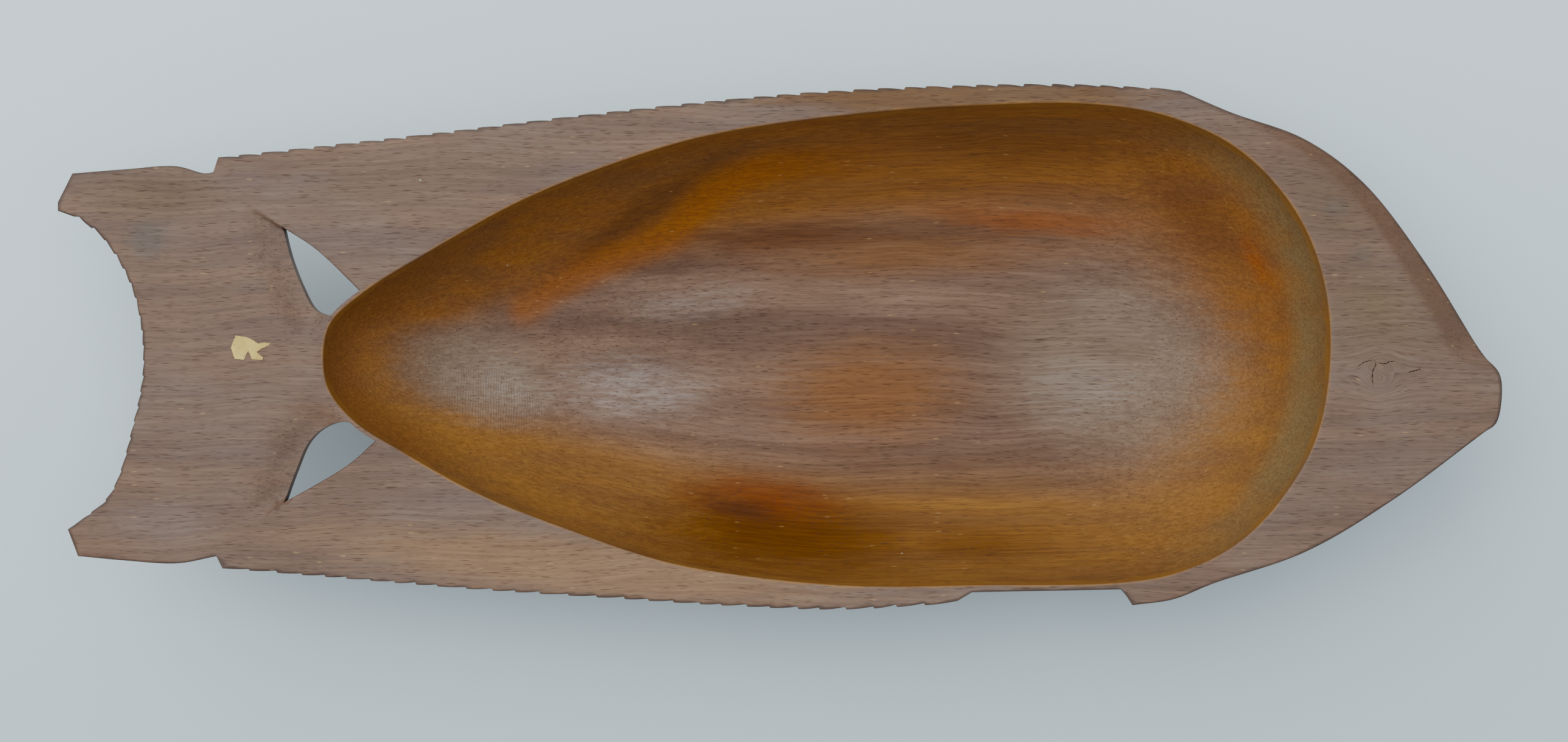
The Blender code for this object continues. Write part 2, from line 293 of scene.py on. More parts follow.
def blend(start, end, start_knot, end_knot, t):
    """The start, blended into the end as t goes from the start's knot to the end's."""
    share = (t - start_knot) / (end_knot - start_knot)
    return start * (1 - share) + end * share


def curve_through(points, closed=False):
    """A dense centripetal Catmull-Rom curve through the points: each stretch is blended from its four
    nearest points."""
    if closed:
        points = np.vstack([points[-1:], points, points[:2]])
    else:
        points = np.vstack([2 * points[:1] - points[1:2], points, 2 * points[-1:] - points[-2:-1]])
    spans = []
    for p0, p1, p2, p3 in zip(points, points[1:], points[2:], points[3:]):
        knots = np.cumsum([0.0] + [np.linalg.norm(b - a) ** 0.5 for a, b in ((p0, p1), (p1, p2), (p2, p3))])
        t = np.linspace(knots[1], knots[2], CURVE_STEPS, endpoint=False)[:, None]
        a1 = blend(p0, p1, knots[0], knots[1], t)
        a2 = blend(p1, p2, knots[1], knots[2], t)
        a3 = blend(p2, p3, knots[2], knots[3], t)
        b1 = blend(a1, a2, knots[0], knots[2], t)
        b2 = blend(a2, a3, knots[1], knots[3], t)
        spans.append(blend(b1, b2, knots[1], knots[2], t))
    spans.append(points[-2:-1])
    return np.vstack(spans)


def drawn_curve(points, closed=False):
    return curve_through(stretched(points), closed)


def walked(curve):
    """How far along the curve each of its points is."""
    return np.concatenate([[0.0], np.cumsum(np.linalg.norm(np.diff(curve, axis=0), axis=1))])


def points_at(curve, distances):
    along = walked(curve)
    return np.stack([np.interp(distances, along, curve[:, axis]) for axis in (0, 1)], axis=1)


def evenly(curve, step):
    """The curve as points about a step apart, with both its ends."""
    length = walked(curve)[-1]
    return points_at(curve, np.linspace(0, length, max(2, round(length / step) + 1)))


def unit(vectors):
    return vectors / np.maximum(np.linalg.norm(vectors, axis=-1, keepdims=True), 1e-12)


def smoothstep(value, low, high):
    share = np.clip((value - low) / (high - low), 0, 1)
    return share * share * (3 - 2 * share)


def toothed(curve, tooth, depth, slant, inward_side, seed):
    """The curve with teeth cut into it by hand: a tooth starts on the curve and sinks by its depth times
    the square of its share. Each one's length and depth stray a little from the next one's. The step
    between two of them slants over a length along the curve."""
    length = walked(curve)[-1]
    count = max(1, round(length / tooth))
    chance = np.random.default_rng(seed)
    ends = np.concatenate([[0], np.cumsum(1 + chance.uniform(-TOOTH_STRAY, TOOTH_STRAY, count))])
    ends *= length / ends[-1]
    depths = depth * chance.uniform(*NOTCH_RANGE, count)
    share = np.tile(TOOTH_STEPS, count)
    which = np.repeat(np.arange(count), len(TOOTH_STEPS))
    start, end = ends[which] + slant, ends[which + 1]
    distance = start + share * (end - start)
    reach = tooth / 4
    run = unit(points_at(curve, distance + reach) - points_at(curve, distance - reach))
    inward = np.stack([-run[:, 1], run[:, 0]], axis=1) * inward_side
    return points_at(curve, distance) + inward * (depths[which] * share**2)[:, None]


def fish_outline(sizes):
    """The edge of the fish, clockwise from the tail's upper corner. The teeth run from the tail to the
    head."""
    fin = (sizes.fin_tooth, sizes.fin_notch, sizes.tooth_slant)
    crescent = (sizes.tail_tooth, sizes.tail_notch, sizes.tooth_slant)
    back = toothed(drawn_curve(BACK_FIN), *fin, -1, BACK_SEED)
    belly = toothed(drawn_curve(BELLY_FIN)[::-1], *fin, 1, BELLY_SEED)[::-1]
    tail = toothed(drawn_curve(TAIL_CRESCENT), *crescent, -1, TAIL_SEED)
    runs = [evenly(drawn_curve(TAIL_TOP), PLAIN_STEP), back]
    runs += [evenly(drawn_curve(run), PLAIN_STEP)[1:] for run in (BROW, SNOUT, JAW)]
    runs += [straight_run([JAW[-1], *GAP, *FIN_END, BELLY_FIN[0]])]
    runs += [belly, evenly(drawn_curve(TAIL_BOTTOM), PLAIN_STEP)]
    runs += [straight_run([TAIL_BOTTOM[-1], *LOWER_TIP, TAIL_CRESCENT[0]]), tail]
    runs += [straight_run([TAIL_CRESCENT[-1], *UPPER_TIP, TAIL_TOP[0]])]
    return np.vstack(runs)


def straight_run(points):
    """Straight cuts from point to point, without the first and the last."""
    corners = stretched(points)
    cuts = [evenly(np.vstack(ends), PLAIN_STEP)[:-1] for ends in zip(corners, corners[1:])]
    return np.vstack(cuts)[1:]


def rim_curve(sizes):
    """The hollow's rim, clockwise from its tail end. Along the gap it keeps a lip's width from the fish's
    edge."""
    gap = stretched(GAP) + (0, sizes.rim_lip)
    drawn = [stretched(RIM_BACK), stretched(RIM_HEAD), stretched(RIM_JAW), gap, stretched(RIM_BELLY)]
    return curve_through(np.vstack(drawn), closed=True)


def track_place(points):
    """How far each point lies round a stadium-shaped track about the middle line, clockwise from the tail.
    Beside the line it is the distance along it. Beyond an end it is the turn about that end times the
    track's corner."""
    x, y = points.T
    foot = np.clip(x, TRACK_TAIL, TRACK_HEAD)
    turn = np.arctan2(x - foot, y - TRACK_Y)
    turn = np.where(turn < -np.pi / 2, turn + 2 * np.pi, turn)
    run = TRACK_HEAD - TRACK_TAIL
    straight = np.where(turn > np.pi / 2, 2 * run - (foot - TRACK_TAIL), foot - TRACK_TAIL)
    return TRACK_CORNER * (turn + np.pi / 2) + straight


def across_from(outline, rim):
    """For each point of the outline, the rim's point at the same place on the track, eased along so that
    the notches in the outline don't reach the rim."""
    lap = 2 * (TRACK_HEAD - TRACK_TAIL) + 2 * np.pi * TRACK_CORNER
    along = walked(np.vstack([outline, outline[:1]]))
    even = along[:-1] / along[-1] * lap
    stray = np.unwrap(track_place(outline), period=lap) - even
    steps = np.linspace(-EASE_REACH, EASE_REACH, EASE_STEPS)
    laps = np.concatenate([along[:-1] - along[-1], along[:-1], along[:-1] + along[-1]])
    strays = np.tile(stray, 3)
    stray = np.mean([np.interp(along[:-1] + step, laps, strays) for step in steps], axis=0)
    place = even + stray
    rim_place = np.unwrap(track_place(rim[:-1]), period=lap)
    laps = np.concatenate([rim_place - lap, rim_place, rim_place + lap])
    around = np.vstack([rim[:-1]] * 3)
    return np.stack([np.interp(place, laps, around[:, axis]) for axis in (0, 1)], axis=1)


def guide_inside(outline, rim, widths):
    """A smooth ring a width in from the outline: the outline is averaged over a few millimetres each way,
    and moved to the right of its clockwise run. It never goes further than half of the way to the rim."""
    closed = np.vstack([outline, outline[:1]])
    along = walked(closed)
    lap = along[-1]
    steps = np.linspace(-GUIDE_REACH, GUIDE_REACH, GUIDE_STEPS)
    eased = np.mean([points_at(closed, (along[:-1] + step) % lap) for step in steps], axis=0)
    ahead = points_at(closed, (along[:-1] + 2 * GUIDE_REACH) % lap)
    behind = points_at(closed, (along[:-1] - 2 * GUIDE_REACH) % lap)
    run = unit(ahead - behind)
    inward = np.stack([run[:, 1], -run[:, 0]], axis=1)
    room = np.linalg.norm(outline - rim, axis=1)
    near = np.minimum(widths, room / 2)
    free = smoothstep(room, 4 * MM, 16 * MM)[:, None]
    straight = outline + (rim - outline) * (near / room)[:, None]
    return straight * (1 - free) + (eased + inward * near[:, None]) * free


def inwards(outline, guide, rim, distance):
    """The points that far in from the outline, on the way to the guide ring and then on to the rim."""
    first = np.linalg.norm(guide - outline, axis=1)
    second = np.linalg.norm(rim - guide, axis=1)
    on_first = np.clip(distance / first, 0, 1)[:, None]
    on_second = np.clip((distance - first) / second, 0, 1)[:, None]
    return outline + (guide - outline) * on_first + (rim - guide) * on_second


def nearest_on(points, line):
    """The distance from each point to a line of many short runs, and how far along the line its nearest
    place is."""
    start, step = line[:-1], np.diff(line, axis=0)
    length = walked(line)
    squared = np.maximum((step**2).sum(1), 1e-18)
    distance = np.empty(len(points))
    place = np.empty(len(points))
    for low in range(0, len(points), BATCH):
        offset = points[low:low + BATCH, None, :] - start[None]
        share = np.clip((offset * step).sum(2) / squared, 0, 1)
        gap = np.linalg.norm(offset - share[..., None] * step, axis=2)
        best = gap.argmin(1)
        rows = np.arange(len(best))
        distance[low:low + BATCH] = gap[rows, best]
        place[low:low + BATCH] = length[best] + share[rows, best] * np.sqrt(squared[best])
    return distance, place


def inside_ring(points, ring):
    """True for each point inside a closed ring: a line from it to the right crosses the ring an odd number
    of times."""
    ends = np.roll(ring, -1, axis=0)
    within = np.zeros(len(points), bool)
    for low in range(0, len(points), BATCH):
        x, y = points[low:low + BATCH, 0:1], points[low:low + BATCH, 1:2]
        spans = (ring[:, 1] > y) != (ends[:, 1] > y)
        with np.errstate(divide="ignore", invalid="ignore"):
            crossing = ring[:, 0] + (y - ring[:, 1]) * (ends[:, 0] - ring[:, 0]) / (ends[:, 1] - ring[:, 1])
        within[low:low + BATCH] = (spans & (x < crossing)).sum(1) % 2 == 1
    return within


# ---------------------------------------------------------------- relief cut into the faces


def scallops(points, seed, cell, grain):
    """Shallow cuts that meet at low ridges: the square of the distance to the nearest of many scattered
    centres, with each cut drawn out along the grain. It is 0 in the middle of a cut and about 1 on a
    ridge."""
    chance = np.random.default_rng(seed)
    scale = np.array([cell * grain, cell, cell])
    low, high = points.min(0) / scale - 0.5, points.max(0) / scale + 0.5
    count = int(np.prod(high - low) * CUTS_IN_A_CELL)
    centres = chance.uniform(low, high, (count, 3))
    placed = points / scale
    nearest = np.empty(len(points))
    for first in range(0, len(points), BATCH):
        offset = placed[first:first + BATCH, None, :] - centres[None]
        nearest[first:first + BATCH] = (offset**2).sum(2).min(1)
    return nearest


def slow_waves(points):
    """A gentle unevenness, from -1 to 1: the mean of four crossed sine waves, 32 to 97 mm long."""
    x, y = points[..., 0], points[..., 1]
    waves = sum(np.sin(along * x + across * y + start) for along, across, start in SLOW_WAVES)
    return waves / len(SLOW_WAVES)


def brow_reach(plan):
    """(distance to the brow's edge, width of the facet there). The facet widens with the share of the way
    along the brow, to the power 1.3, from about 3 mm behind the head to about 10 mm near the snout. It
    fades at both ends."""
    line = np.vstack([drawn_curve(BROW), drawn_curve(SNOUT)[1:BROW_SNOUT_POINTS]])
    distance, place = nearest_on(plan, line)
    share = place / walked(line)[-1]
    full = BROW_START_WIDTH + BROW_GAIN * share**1.3
    return distance, full * smoothstep(share, 0.02, 0.2) * smoothstep(share, 1.0, 0.9)


def brow_width(outline):
    """The facet's width at each point of the outline, and 0 away from the brow."""
    distance, width = brow_reach(outline)
    return np.where(distance < 1 * MM, width, 0)


def brow_facet(plan, sizes):
    """The facet cut along the brow: level with the top at its inner line, and falling by the slope to the
    edge."""
    distance, width = brow_reach(plan)
    return np.maximum(width - distance, 0) * sizes.brow_slope


def opening_slope(plan, edge, bow):
    """The hollow that leads down from the tail to an opening. It is deepest along the opening's tail side
    and fades over its reach, and it ends at a crease that carries the opening's straight edge on past its
    tip."""
    side = stretched(bow[3:] + [edge[0]])
    distance, _ = nearest_on(plan, evenly(curve_through(side), 2 * MM))
    tip, second = stretched(edge)[:2]
    along = unit(tip - second)
    past = (plan - tip) @ np.array([-along[1], along[0]]) * np.sign(along[1])
    behind = smoothstep(past, -0.3 * MM, 1.2 * MM)
    fade = 1 - smoothstep(distance, 0, SLOPE_REACH)
    return SLOPE_DEPTH * fade**1.6 * behind


def top_fall(plan, rim, sizes):
    """How far the top face lies under the plate's full height at each plan point. It is never negative, and
    nothing but the slow unevenness reaches the rim."""
    fall = UNEVEN_DEPTH * (1 + slow_waves(plan))
    under_label, _ = nearest_on(plan, stretched([LABEL_EDGE[0], LABEL_EDGE[3]]))
    fall *= smoothstep(under_label, 6 * MM, 22 * MM)
    slope = opening_slope(plan, BACK_OPENING_EDGE, BACK_OPENING_BOW)
    slope += opening_slope(plan, BELLY_OPENING_EDGE, BELLY_OPENING_BOW)
    from_rim, _ = nearest_on(plan, evenly(rim, 2 * MM))
    return fall + brow_facet(plan, sizes) + slope * smoothstep(from_rim, 1 * MM, 8 * MM)


# ---------------------------------------------------------------- the carving's rings


def oval_like(ring, middle_x, length, width):
    """An oval with one point for each of the ring's, in the same directions from the oval's middle."""
    across = (ring - (middle_x, 0)) / (BODY_HIGH - BODY_LOW)[:2]
    angle = np.arctan2(across[:, 1], across[:, 0])
    return np.stack([middle_x + np.cos(angle) * length / 2, np.sin(angle) * width / 2], axis=1)


def wall_rings(top_ring, bottom_ring, top_z, bottom_z, squareness, turns):
    """Rings down a bowl's wall. At a turn from 0 to a quarter circle, a point has gone inwards by 1 less
    the turn's cosine to the power 2 / squareness, and down by its sine to the same power."""
    inward = (1 - np.maximum(np.cos(turns), 0) ** (2 / squareness))[:, None, None]
    drop = (np.sin(turns) ** (2 / squareness))[:, None]
    plan = top_ring * (1 - inward) + bottom_ring * inward
    heights = np.broadcast_to(top_z + (bottom_z - top_z) * drop, plan.shape[:2])
    return np.dstack([plan, heights])


def disc_rings(ring, middle, rim_z, middle_z, shares):
    """Level rings that shrink to the middle. Their height eases from the middle's to the rim's, level at
    both."""
    share = np.array(shares)[:, None, None]
    plan = middle + (ring - middle) * share
    ease = 2 * share**2 - share**4
    heights = np.broadcast_to((middle_z + (rim_z - middle_z) * ease)[..., 0], plan.shape[:2])
    return np.dstack([plan, heights])


def ring_normals(rings):
    """Outward unit normals of a stack of clockwise rings that run from the middle of the hollow
    outwards."""
    around = np.roll(rings, -1, axis=1) - np.roll(rings, 1, axis=1)
    along = np.gradient(rings, axis=0)
    return unit(np.cross(around, along))


def relief(rings, depth, seed, cell, grain):
    """The rings, cut into by scallops along their normals."""
    cuts = scallops(rings.reshape(-1, 3), seed, cell, grain).reshape(rings.shape[:2])
    return rings - ring_normals(rings) * (depth * (RIDGE_LEVEL - cuts))[..., None]


def hollow_rings(rim, sizes):
    """From the middle of the floor to the rim, with the marks that smoothed gouge cuts leave. The floor
    rises by the square of the share of the way from its middle to its tail end."""
    floor = oval_like(rim, sizes.floor_x, sizes.floor_length, sizes.floor_width)
    middle = np.array([sizes.floor_x, 0.0])
    floor_z = sizes.floor_thickness + sizes.floor_dish
    shares = np.linspace(*FLOOR_SHARES, FLOOR_RINGS)
    disc = disc_rings(floor, middle, floor_z, sizes.floor_thickness, shares)
    disc[..., 2] += floor_lift(disc[..., 0], sizes)
    turns = np.linspace(np.pi / 2, 0, WALL_RINGS + 1)[:-1]
    turns[-1] *= 0.6
    foot_z = floor_z + floor_lift(floor[:, 0], sizes)
    wall = wall_rings(rim, floor, TOP - sizes.edge_round, foot_z, sizes.hollow_squareness, turns)
    rings = np.vstack([disc, wall])
    cut = relief(rings, sizes.hollow_tool_marks, **GOUGE_CUTS)
    keep = smoothstep(rings[..., 2], TOP - 1 * MM, TOP - 5 * MM)[..., None]
    return rings * (1 - keep) + cut * keep


def floor_lift(x, sizes):
    """The floor's rise: the square of the share of the way from its middle to its tail end."""
    share = np.clip((sizes.floor_x - x) / (sizes.floor_length / 2), 0, 1)
    return sizes.floor_rise * share**2


def top_rings(outline, guide, rim, rim_line, sizes):
    """Over the rounded rim, out across the top, and over the worn edge to the plate's side."""
    edge_band = np.linalg.norm(guide - outline, axis=1)
    room = edge_band + np.linalg.norm(rim - guide, axis=1)
    wear = np.minimum(sizes.edge_round, room / 5)
    turns = np.linspace(0, np.pi / 2, ROUND_RINGS)
    ways = [(room - wear * (1 - np.cos(turn)), wear * (1 - np.sin(turn))) for turn in turns]
    level = np.zeros(len(rim))
    inner = np.linspace(0, 1, TOP_RINGS + 1)[1:]
    ways += [((room - wear) * (1 - share) + edge_band * share, level) for share in inner]
    outer = np.linspace(0, 1, EDGE_RINGS + 1)[1:]
    ways += [(edge_band * (1 - share) + wear * share, level) for share in outer]
    ways += [(wear * (1 - np.sin(turn)), wear * (1 - np.cos(turn))) for turn in turns[1:]]
    plan = np.array([inwards(outline, guide, rim, way) for way, below in ways])
    below = np.array([below for way, below in ways])
    fall = top_fall(plan.reshape(-1, 2), rim_line, sizes).reshape(below.shape)
    return np.dstack([plan, TOP - fall - below])


def under_rings(outline, guide, rim, sizes, edge_z):
    """Down the plate's trimmed side and in under the fins to a fillet at the hull."""
    room = np.linalg.norm(guide - outline, axis=1) + np.linalg.norm(rim - guide, axis=1)
    clear = smoothstep(room, 3 * MM, 10 * MM)
    trim = LEAST_TRIM + (sizes.undercut - LEAST_TRIM) * clear
    fillet = np.clip((room - sizes.rim_lip - 1 * MM) / 2, LEAST_TRIM, HULL_FILLET)
    hull = np.minimum(sizes.rim_lip, room - EDGE_BAND)
    start = np.minimum(trim + EDGE_BAND, room - hull - fillet - 0.05 * MM)
    start = np.maximum(start, trim + LEAST_STEP)
    stop = np.maximum(room - hull - fillet, start + LEAST_STEP)
    bottom = np.full(len(outline), TOP - sizes.plate_thickness)
    sides = np.linspace(0, 1, SIDE_RINGS + 1)[1:]
    ways = [(trim * share, edge_z + (bottom + 0.5 * MM - edge_z) * share) for share in sides]
    ways += [(start + (stop - start) * share, bottom) for share in np.linspace(0, 1, UNDER_RINGS)]
    turns = np.linspace(0, np.pi / 2, ROUND_RINGS + 1)[1:]
    span = room - hull - stop
    ways += [(stop + span * np.sin(turn), bottom - fillet * (1 - np.cos(turn))) for turn in turns]
    return np.array([np.column_stack([inwards(outline, guide, rim, way), height]) for way, height in ways])


def hull_rings(top_ring, sizes):
    """Down the outside of the hull to the foot, cut with an adze, and in to the middle of the foot."""
    plan, height = top_ring[:, :2], top_ring[:, 2]
    foot = oval_like(plan, sizes.foot_x, sizes.foot_length, sizes.foot_width)
    turns = np.linspace(0, 1, HULL_RINGS + 1)[1:] ** 0.9 * np.pi / 2
    wall = wall_rings(plan, foot, height[None, :], 0.0, sizes.hull_squareness, turns)
    middle = np.array([sizes.foot_x, 0.0])
    disc = disc_rings(foot, middle, 0.0, 0.0, np.linspace(*FOOT_SHARES, FOOT_RINGS))
    cut = relief(wall, sizes.hull_tool_marks, **ADZE_CUTS)
    plate_bottom = TOP - sizes.plate_thickness
    keep = smoothstep(wall[..., 2], plate_bottom - 1 * MM, plate_bottom - 8 * MM)
    keep = (keep * smoothstep(wall[..., 2], 0.0, 3 * MM))[..., None]
    wall = wall * (1 - keep) + cut * keep
    return np.vstack([wall, disc])


def mesh_of_rings(name, rings, first_pole, last_pole):
    """A closed mesh over a stack of clockwise rings, with a pole at each end. A face joins each four
    neighbours."""
    stack, count = rings.shape[:2]
    points = np.vstack([rings.reshape(-1, 3), first_pole, last_pole])
    here = np.arange(count)
    following = (here + 1) % count
    rows = np.arange(stack - 1)[:, None] * count
    outer = rows + count
    quads = np.stack([rows + here, rows + following, outer + following, outer + here], axis=-1)
    last = (stack - 1) * count
    start_fan = np.stack([following, here, np.full(count, stack * count)], axis=-1)
    end_fan = np.stack([last + here, last + following, np.full(count, stack * count + 1)], axis=-1)
    faces = quads.reshape(-1, 4).tolist() + start_fan.tolist() + end_fan.tolist()
    mesh = bpy.data.meshes.new(name)
    mesh.from_pydata(points.tolist(), [], faces)
    mesh.update()
    made = bpy.data.objects.new(name, mesh)
    bpy.context.scene.collection.objects.link(made)
    return made


def opening_cutter(name, edge, bow, rim, sizes):
    """A block in the shape of a pierced opening, flared at the top by the edges' wear and kept a lip from
    the rim."""
    straight = evenly(drawn_curve(edge), 1 * MM)
    round_side = evenly(drawn_curve([*bow, edge[0]]), 1 * MM)[1:-1]
    ring = np.vstack([straight, round_side])
    turning = np.cross(ring - ring.mean(0), np.roll(ring, -1, axis=0) - ring.mean(0)).sum()
    if turning > 0:
        ring = ring[::-1]
    run = unit(np.roll(ring, -1, axis=0) - np.roll(ring, 1, axis=0))
    outward = np.stack([-run[:, 1], run[:, 0]], axis=1)
    wear = sizes.edge_round
    # Each level's height, and how many times the wear it is flared by.
    levels = [(TOP + 4 * MM, 1.6), (TOP + 0.2 * MM, 1.6), (TOP - 0.4 * wear, 0.6), (TOP - wear, 0.2)]
    levels += [(TOP - 2 * wear, 0.0), (TOP - sizes.plate_thickness - 30 * MM, 0.0)]
    rings = []
    for height, flare in levels:
        plan = kept_outside(ring + outward * flare * wear, rim, sizes.opening_lip)
        rings.append(np.column_stack([plan, np.full(len(plan), height)]))
    middle = ring.mean(0)
    return mesh_of_rings(name, np.array(rings), (*middle, levels[0][0]), (*middle, levels[-1][0]))


def crack_cutter(name, points, width, depth):
    """A V-shaped wedge along a crack in the top face, its width and depth in millimetres. It swells by the
    root of a half sine wave between its two ends, and wavers a little."""
    line = evenly(drawn_curve(points), CRACK_STEP)
    share = np.linspace(0, 1, len(line))
    waver = 0.75 + 0.25 * np.cos(share * CRACK_WAVES)
    swell = (np.sqrt(np.maximum(np.sin(np.pi * share), 0)) * waver)[1:-1, None]
    run = unit(np.gradient(line, axis=0))[1:-1]
    side = np.column_stack([-run[:, 1], run[:, 0]]) * swell * width * MM / 2
    inner = line[1:-1]
    above = np.full(len(inner), TOP + CRACK_OVER * MM)
    flare = 1 + (CRACK_OVER + CRACK_UNDER) / depth
    left = np.column_stack([inner + side * flare, above])
    right = np.column_stack([inner - side * flare, above])
    bottom = np.column_stack([inner, TOP - CRACK_UNDER * MM - depth * MM * swell[:, 0]])
    rings = np.stack([right, bottom, left], axis=1)
    end_z = TOP - CRACK_ENDS * MM
    return mesh_of_rings(name, rings, (*line[0], end_z), (*line[-1], end_z))


def kept_outside(points, rim, lip):
    """The points, with each one that is nearer to the rim than the lip moved straight out to it."""
    even = evenly(rim, 1 * MM)
    distance, place = nearest_on(points, even)
    foot = points_at(even, place)
    ahead = points_at(even, np.minimum(place + 1 * MM, walked(even)[-1]))
    behind = points_at(even, np.maximum(place - 1 * MM, 0))
    run = unit(ahead - behind)
    outward = np.stack([-run[:, 1], run[:, 0]], axis=1)
    side = ((points - foot) * outward).sum(1)
    return points + outward * np.maximum(lip - side, 0)[:, None] * (distance < 8 * MM)[:, None]


def cut_away(piece, cutters):
    """Cuts the cutters from the piece for good, and removes them."""
    for cutter in cutters:
        step = piece.modifiers.new(cutter.name, "BOOLEAN")
        step.operation = "DIFFERENCE"
        step.solver = "EXACT"
        step.object = cutter
    graph = bpy.context.evaluated_depsgraph_get()
    result = bpy.data.meshes.new_from_object(piece.evaluated_get(graph))
    piece.modifiers.clear()
    old, piece.data = piece.data, result
    result.name = piece.name
    bpy.data.meshes.remove(old)
    for cutter in cutters:
        bpy.data.meshes.remove(cutter.data)


def smooth_faces(piece, degrees):
    piece.data.shade_smooth()
    piece.data.set_sharp_from_angle(angle=np.radians(degrees))


def set_attribute(piece, name, values):
    attribute = piece.data.attributes.new(name, "FLOAT", "POINT")
    attribute.data.foreach_set("value", np.asarray(values, np.float32))


def mark_carving(piece, outline, rim):
    """Writes what the wood's finish follows: the plan distances in metres to the rim, less than 0 inside it,
    to the edge and to the streak of painted highlight, which faces are in the hollow, and how far each faces
    up."""
    count = len(piece.data.vertices)
    points, normals = np.empty(count * 3, np.float32), np.empty(count * 3, np.float32)
    piece.data.vertices.foreach_get("co", points)
    piece.data.vertex_normals.foreach_get("vector", normals)
    points, normals = points.reshape(-1, 3).astype(float), normals.reshape(-1, 3)
    plan = points[:, :2]
    even_rim = evenly(rim, 2 * MM)
    to_rim, _ = nearest_on(plan, even_rim)
    within = inside_ring(plan, even_rim[:-1])
    to_edge, _ = nearest_on(plan, np.vstack([outline, outline[:1]])[::2])
    in_hollow = within & (normals[:, 2] > -0.02)
    set_attribute(piece, "from_rim", np.where(within, -to_rim, to_rim))
    set_attribute(piece, "from_edge", to_edge)
    set_attribute(piece, "in_hollow", in_hollow)
    to_streak, _ = nearest_on(plan, drawn_curve(STREAK)[::4])
    set_attribute(piece, "from_streak", to_streak)
    set_attribute(piece, "facing_up", normals[:, 2])


def make_carving(sizes):
    """The carving: its rings make one closed mesh, and the openings and the knot's cracks are then cut into
    it."""
    outline, rim = fish_outline(sizes), rim_curve(sizes)
    rim_ring = across_from(outline, rim)
    guide = guide_inside(outline, rim_ring, np.maximum(brow_width(outline), GUIDE_WIDTH))
    top = top_rings(outline, guide, rim_ring, rim, sizes)
    under = under_rings(outline, guide, rim_ring, sizes, top[-1, :, 2])
    rings = [hollow_rings(rim_ring, sizes), top, under, hull_rings(under[-1], sizes)]
    floor_middle = (sizes.floor_x, 0.0, sizes.floor_thickness)
    carving = mesh_of_rings("carving", np.vstack(rings), floor_middle, (sizes.foot_x, 0.0, 0.0))
    back = opening_cutter("back_opening", BACK_OPENING_EDGE, BACK_OPENING_BOW, rim, sizes)
    belly = opening_cutter("belly_opening", BELLY_OPENING_EDGE, BELLY_OPENING_BOW, rim, sizes)
    cracks = [crack_cutter(f"crack_{number}", *crack) for number, crack in enumerate(KNOT_CRACKS, 1)]
    cut_away(carving, [back, belly, *cracks])
    smooth_faces(carving, 34)
    mark_carving(carving, outline, rim)
    return carving


def make_label(finish):
    """The paper scrap: rings that grow from its middle to its torn edge and back, lifting as the square of
    the way out, more and less by a wave along it."""
    corners = stretched([*LABEL_EDGE, LABEL_EDGE[0]])
    edge = np.vstack([evenly(np.vstack(ends), LABEL_STEP)[:-1] for ends in zip(corners, corners[1:])])
    chance = np.random.default_rng(LABEL_SEED)
    middle = stretched([LABEL_MIDDLE])[0]
    edge = edge + chance.uniform(-LABEL_RAGGED, LABEL_RAGGED, edge.shape) * MM
    out = np.linspace(0.1, 1, LABEL_RINGS)
    back = np.linspace(1, 0.1, LABEL_RINGS)
    plan = middle + (edge - middle) * np.concatenate([out, back])[:, None, None]
    reach = np.linalg.norm(plan - middle, axis=2) / CURL_REACH
    lift = finish.curl * reach**2 * (1 + np.sin(plan[..., 0] * CURL_WAVES)) / 2
    bottom = TOP + LABEL_GAP
    on_top = np.arange(2 * LABEL_RINGS) < LABEL_RINGS
    height = bottom + lift + np.where(on_top, finish.thickness, 0.0)[:, None]
    rings = np.dstack([plan, height])
    scrap = mesh_of_rings("label", rings, (*middle, bottom + finish.thickness), (*middle, bottom))
    smooth_faces(scrap, 40)
    return scrap


# ---------------------------------------------------------------- node trees


def opaque(value):
    return (*value, 1.0)


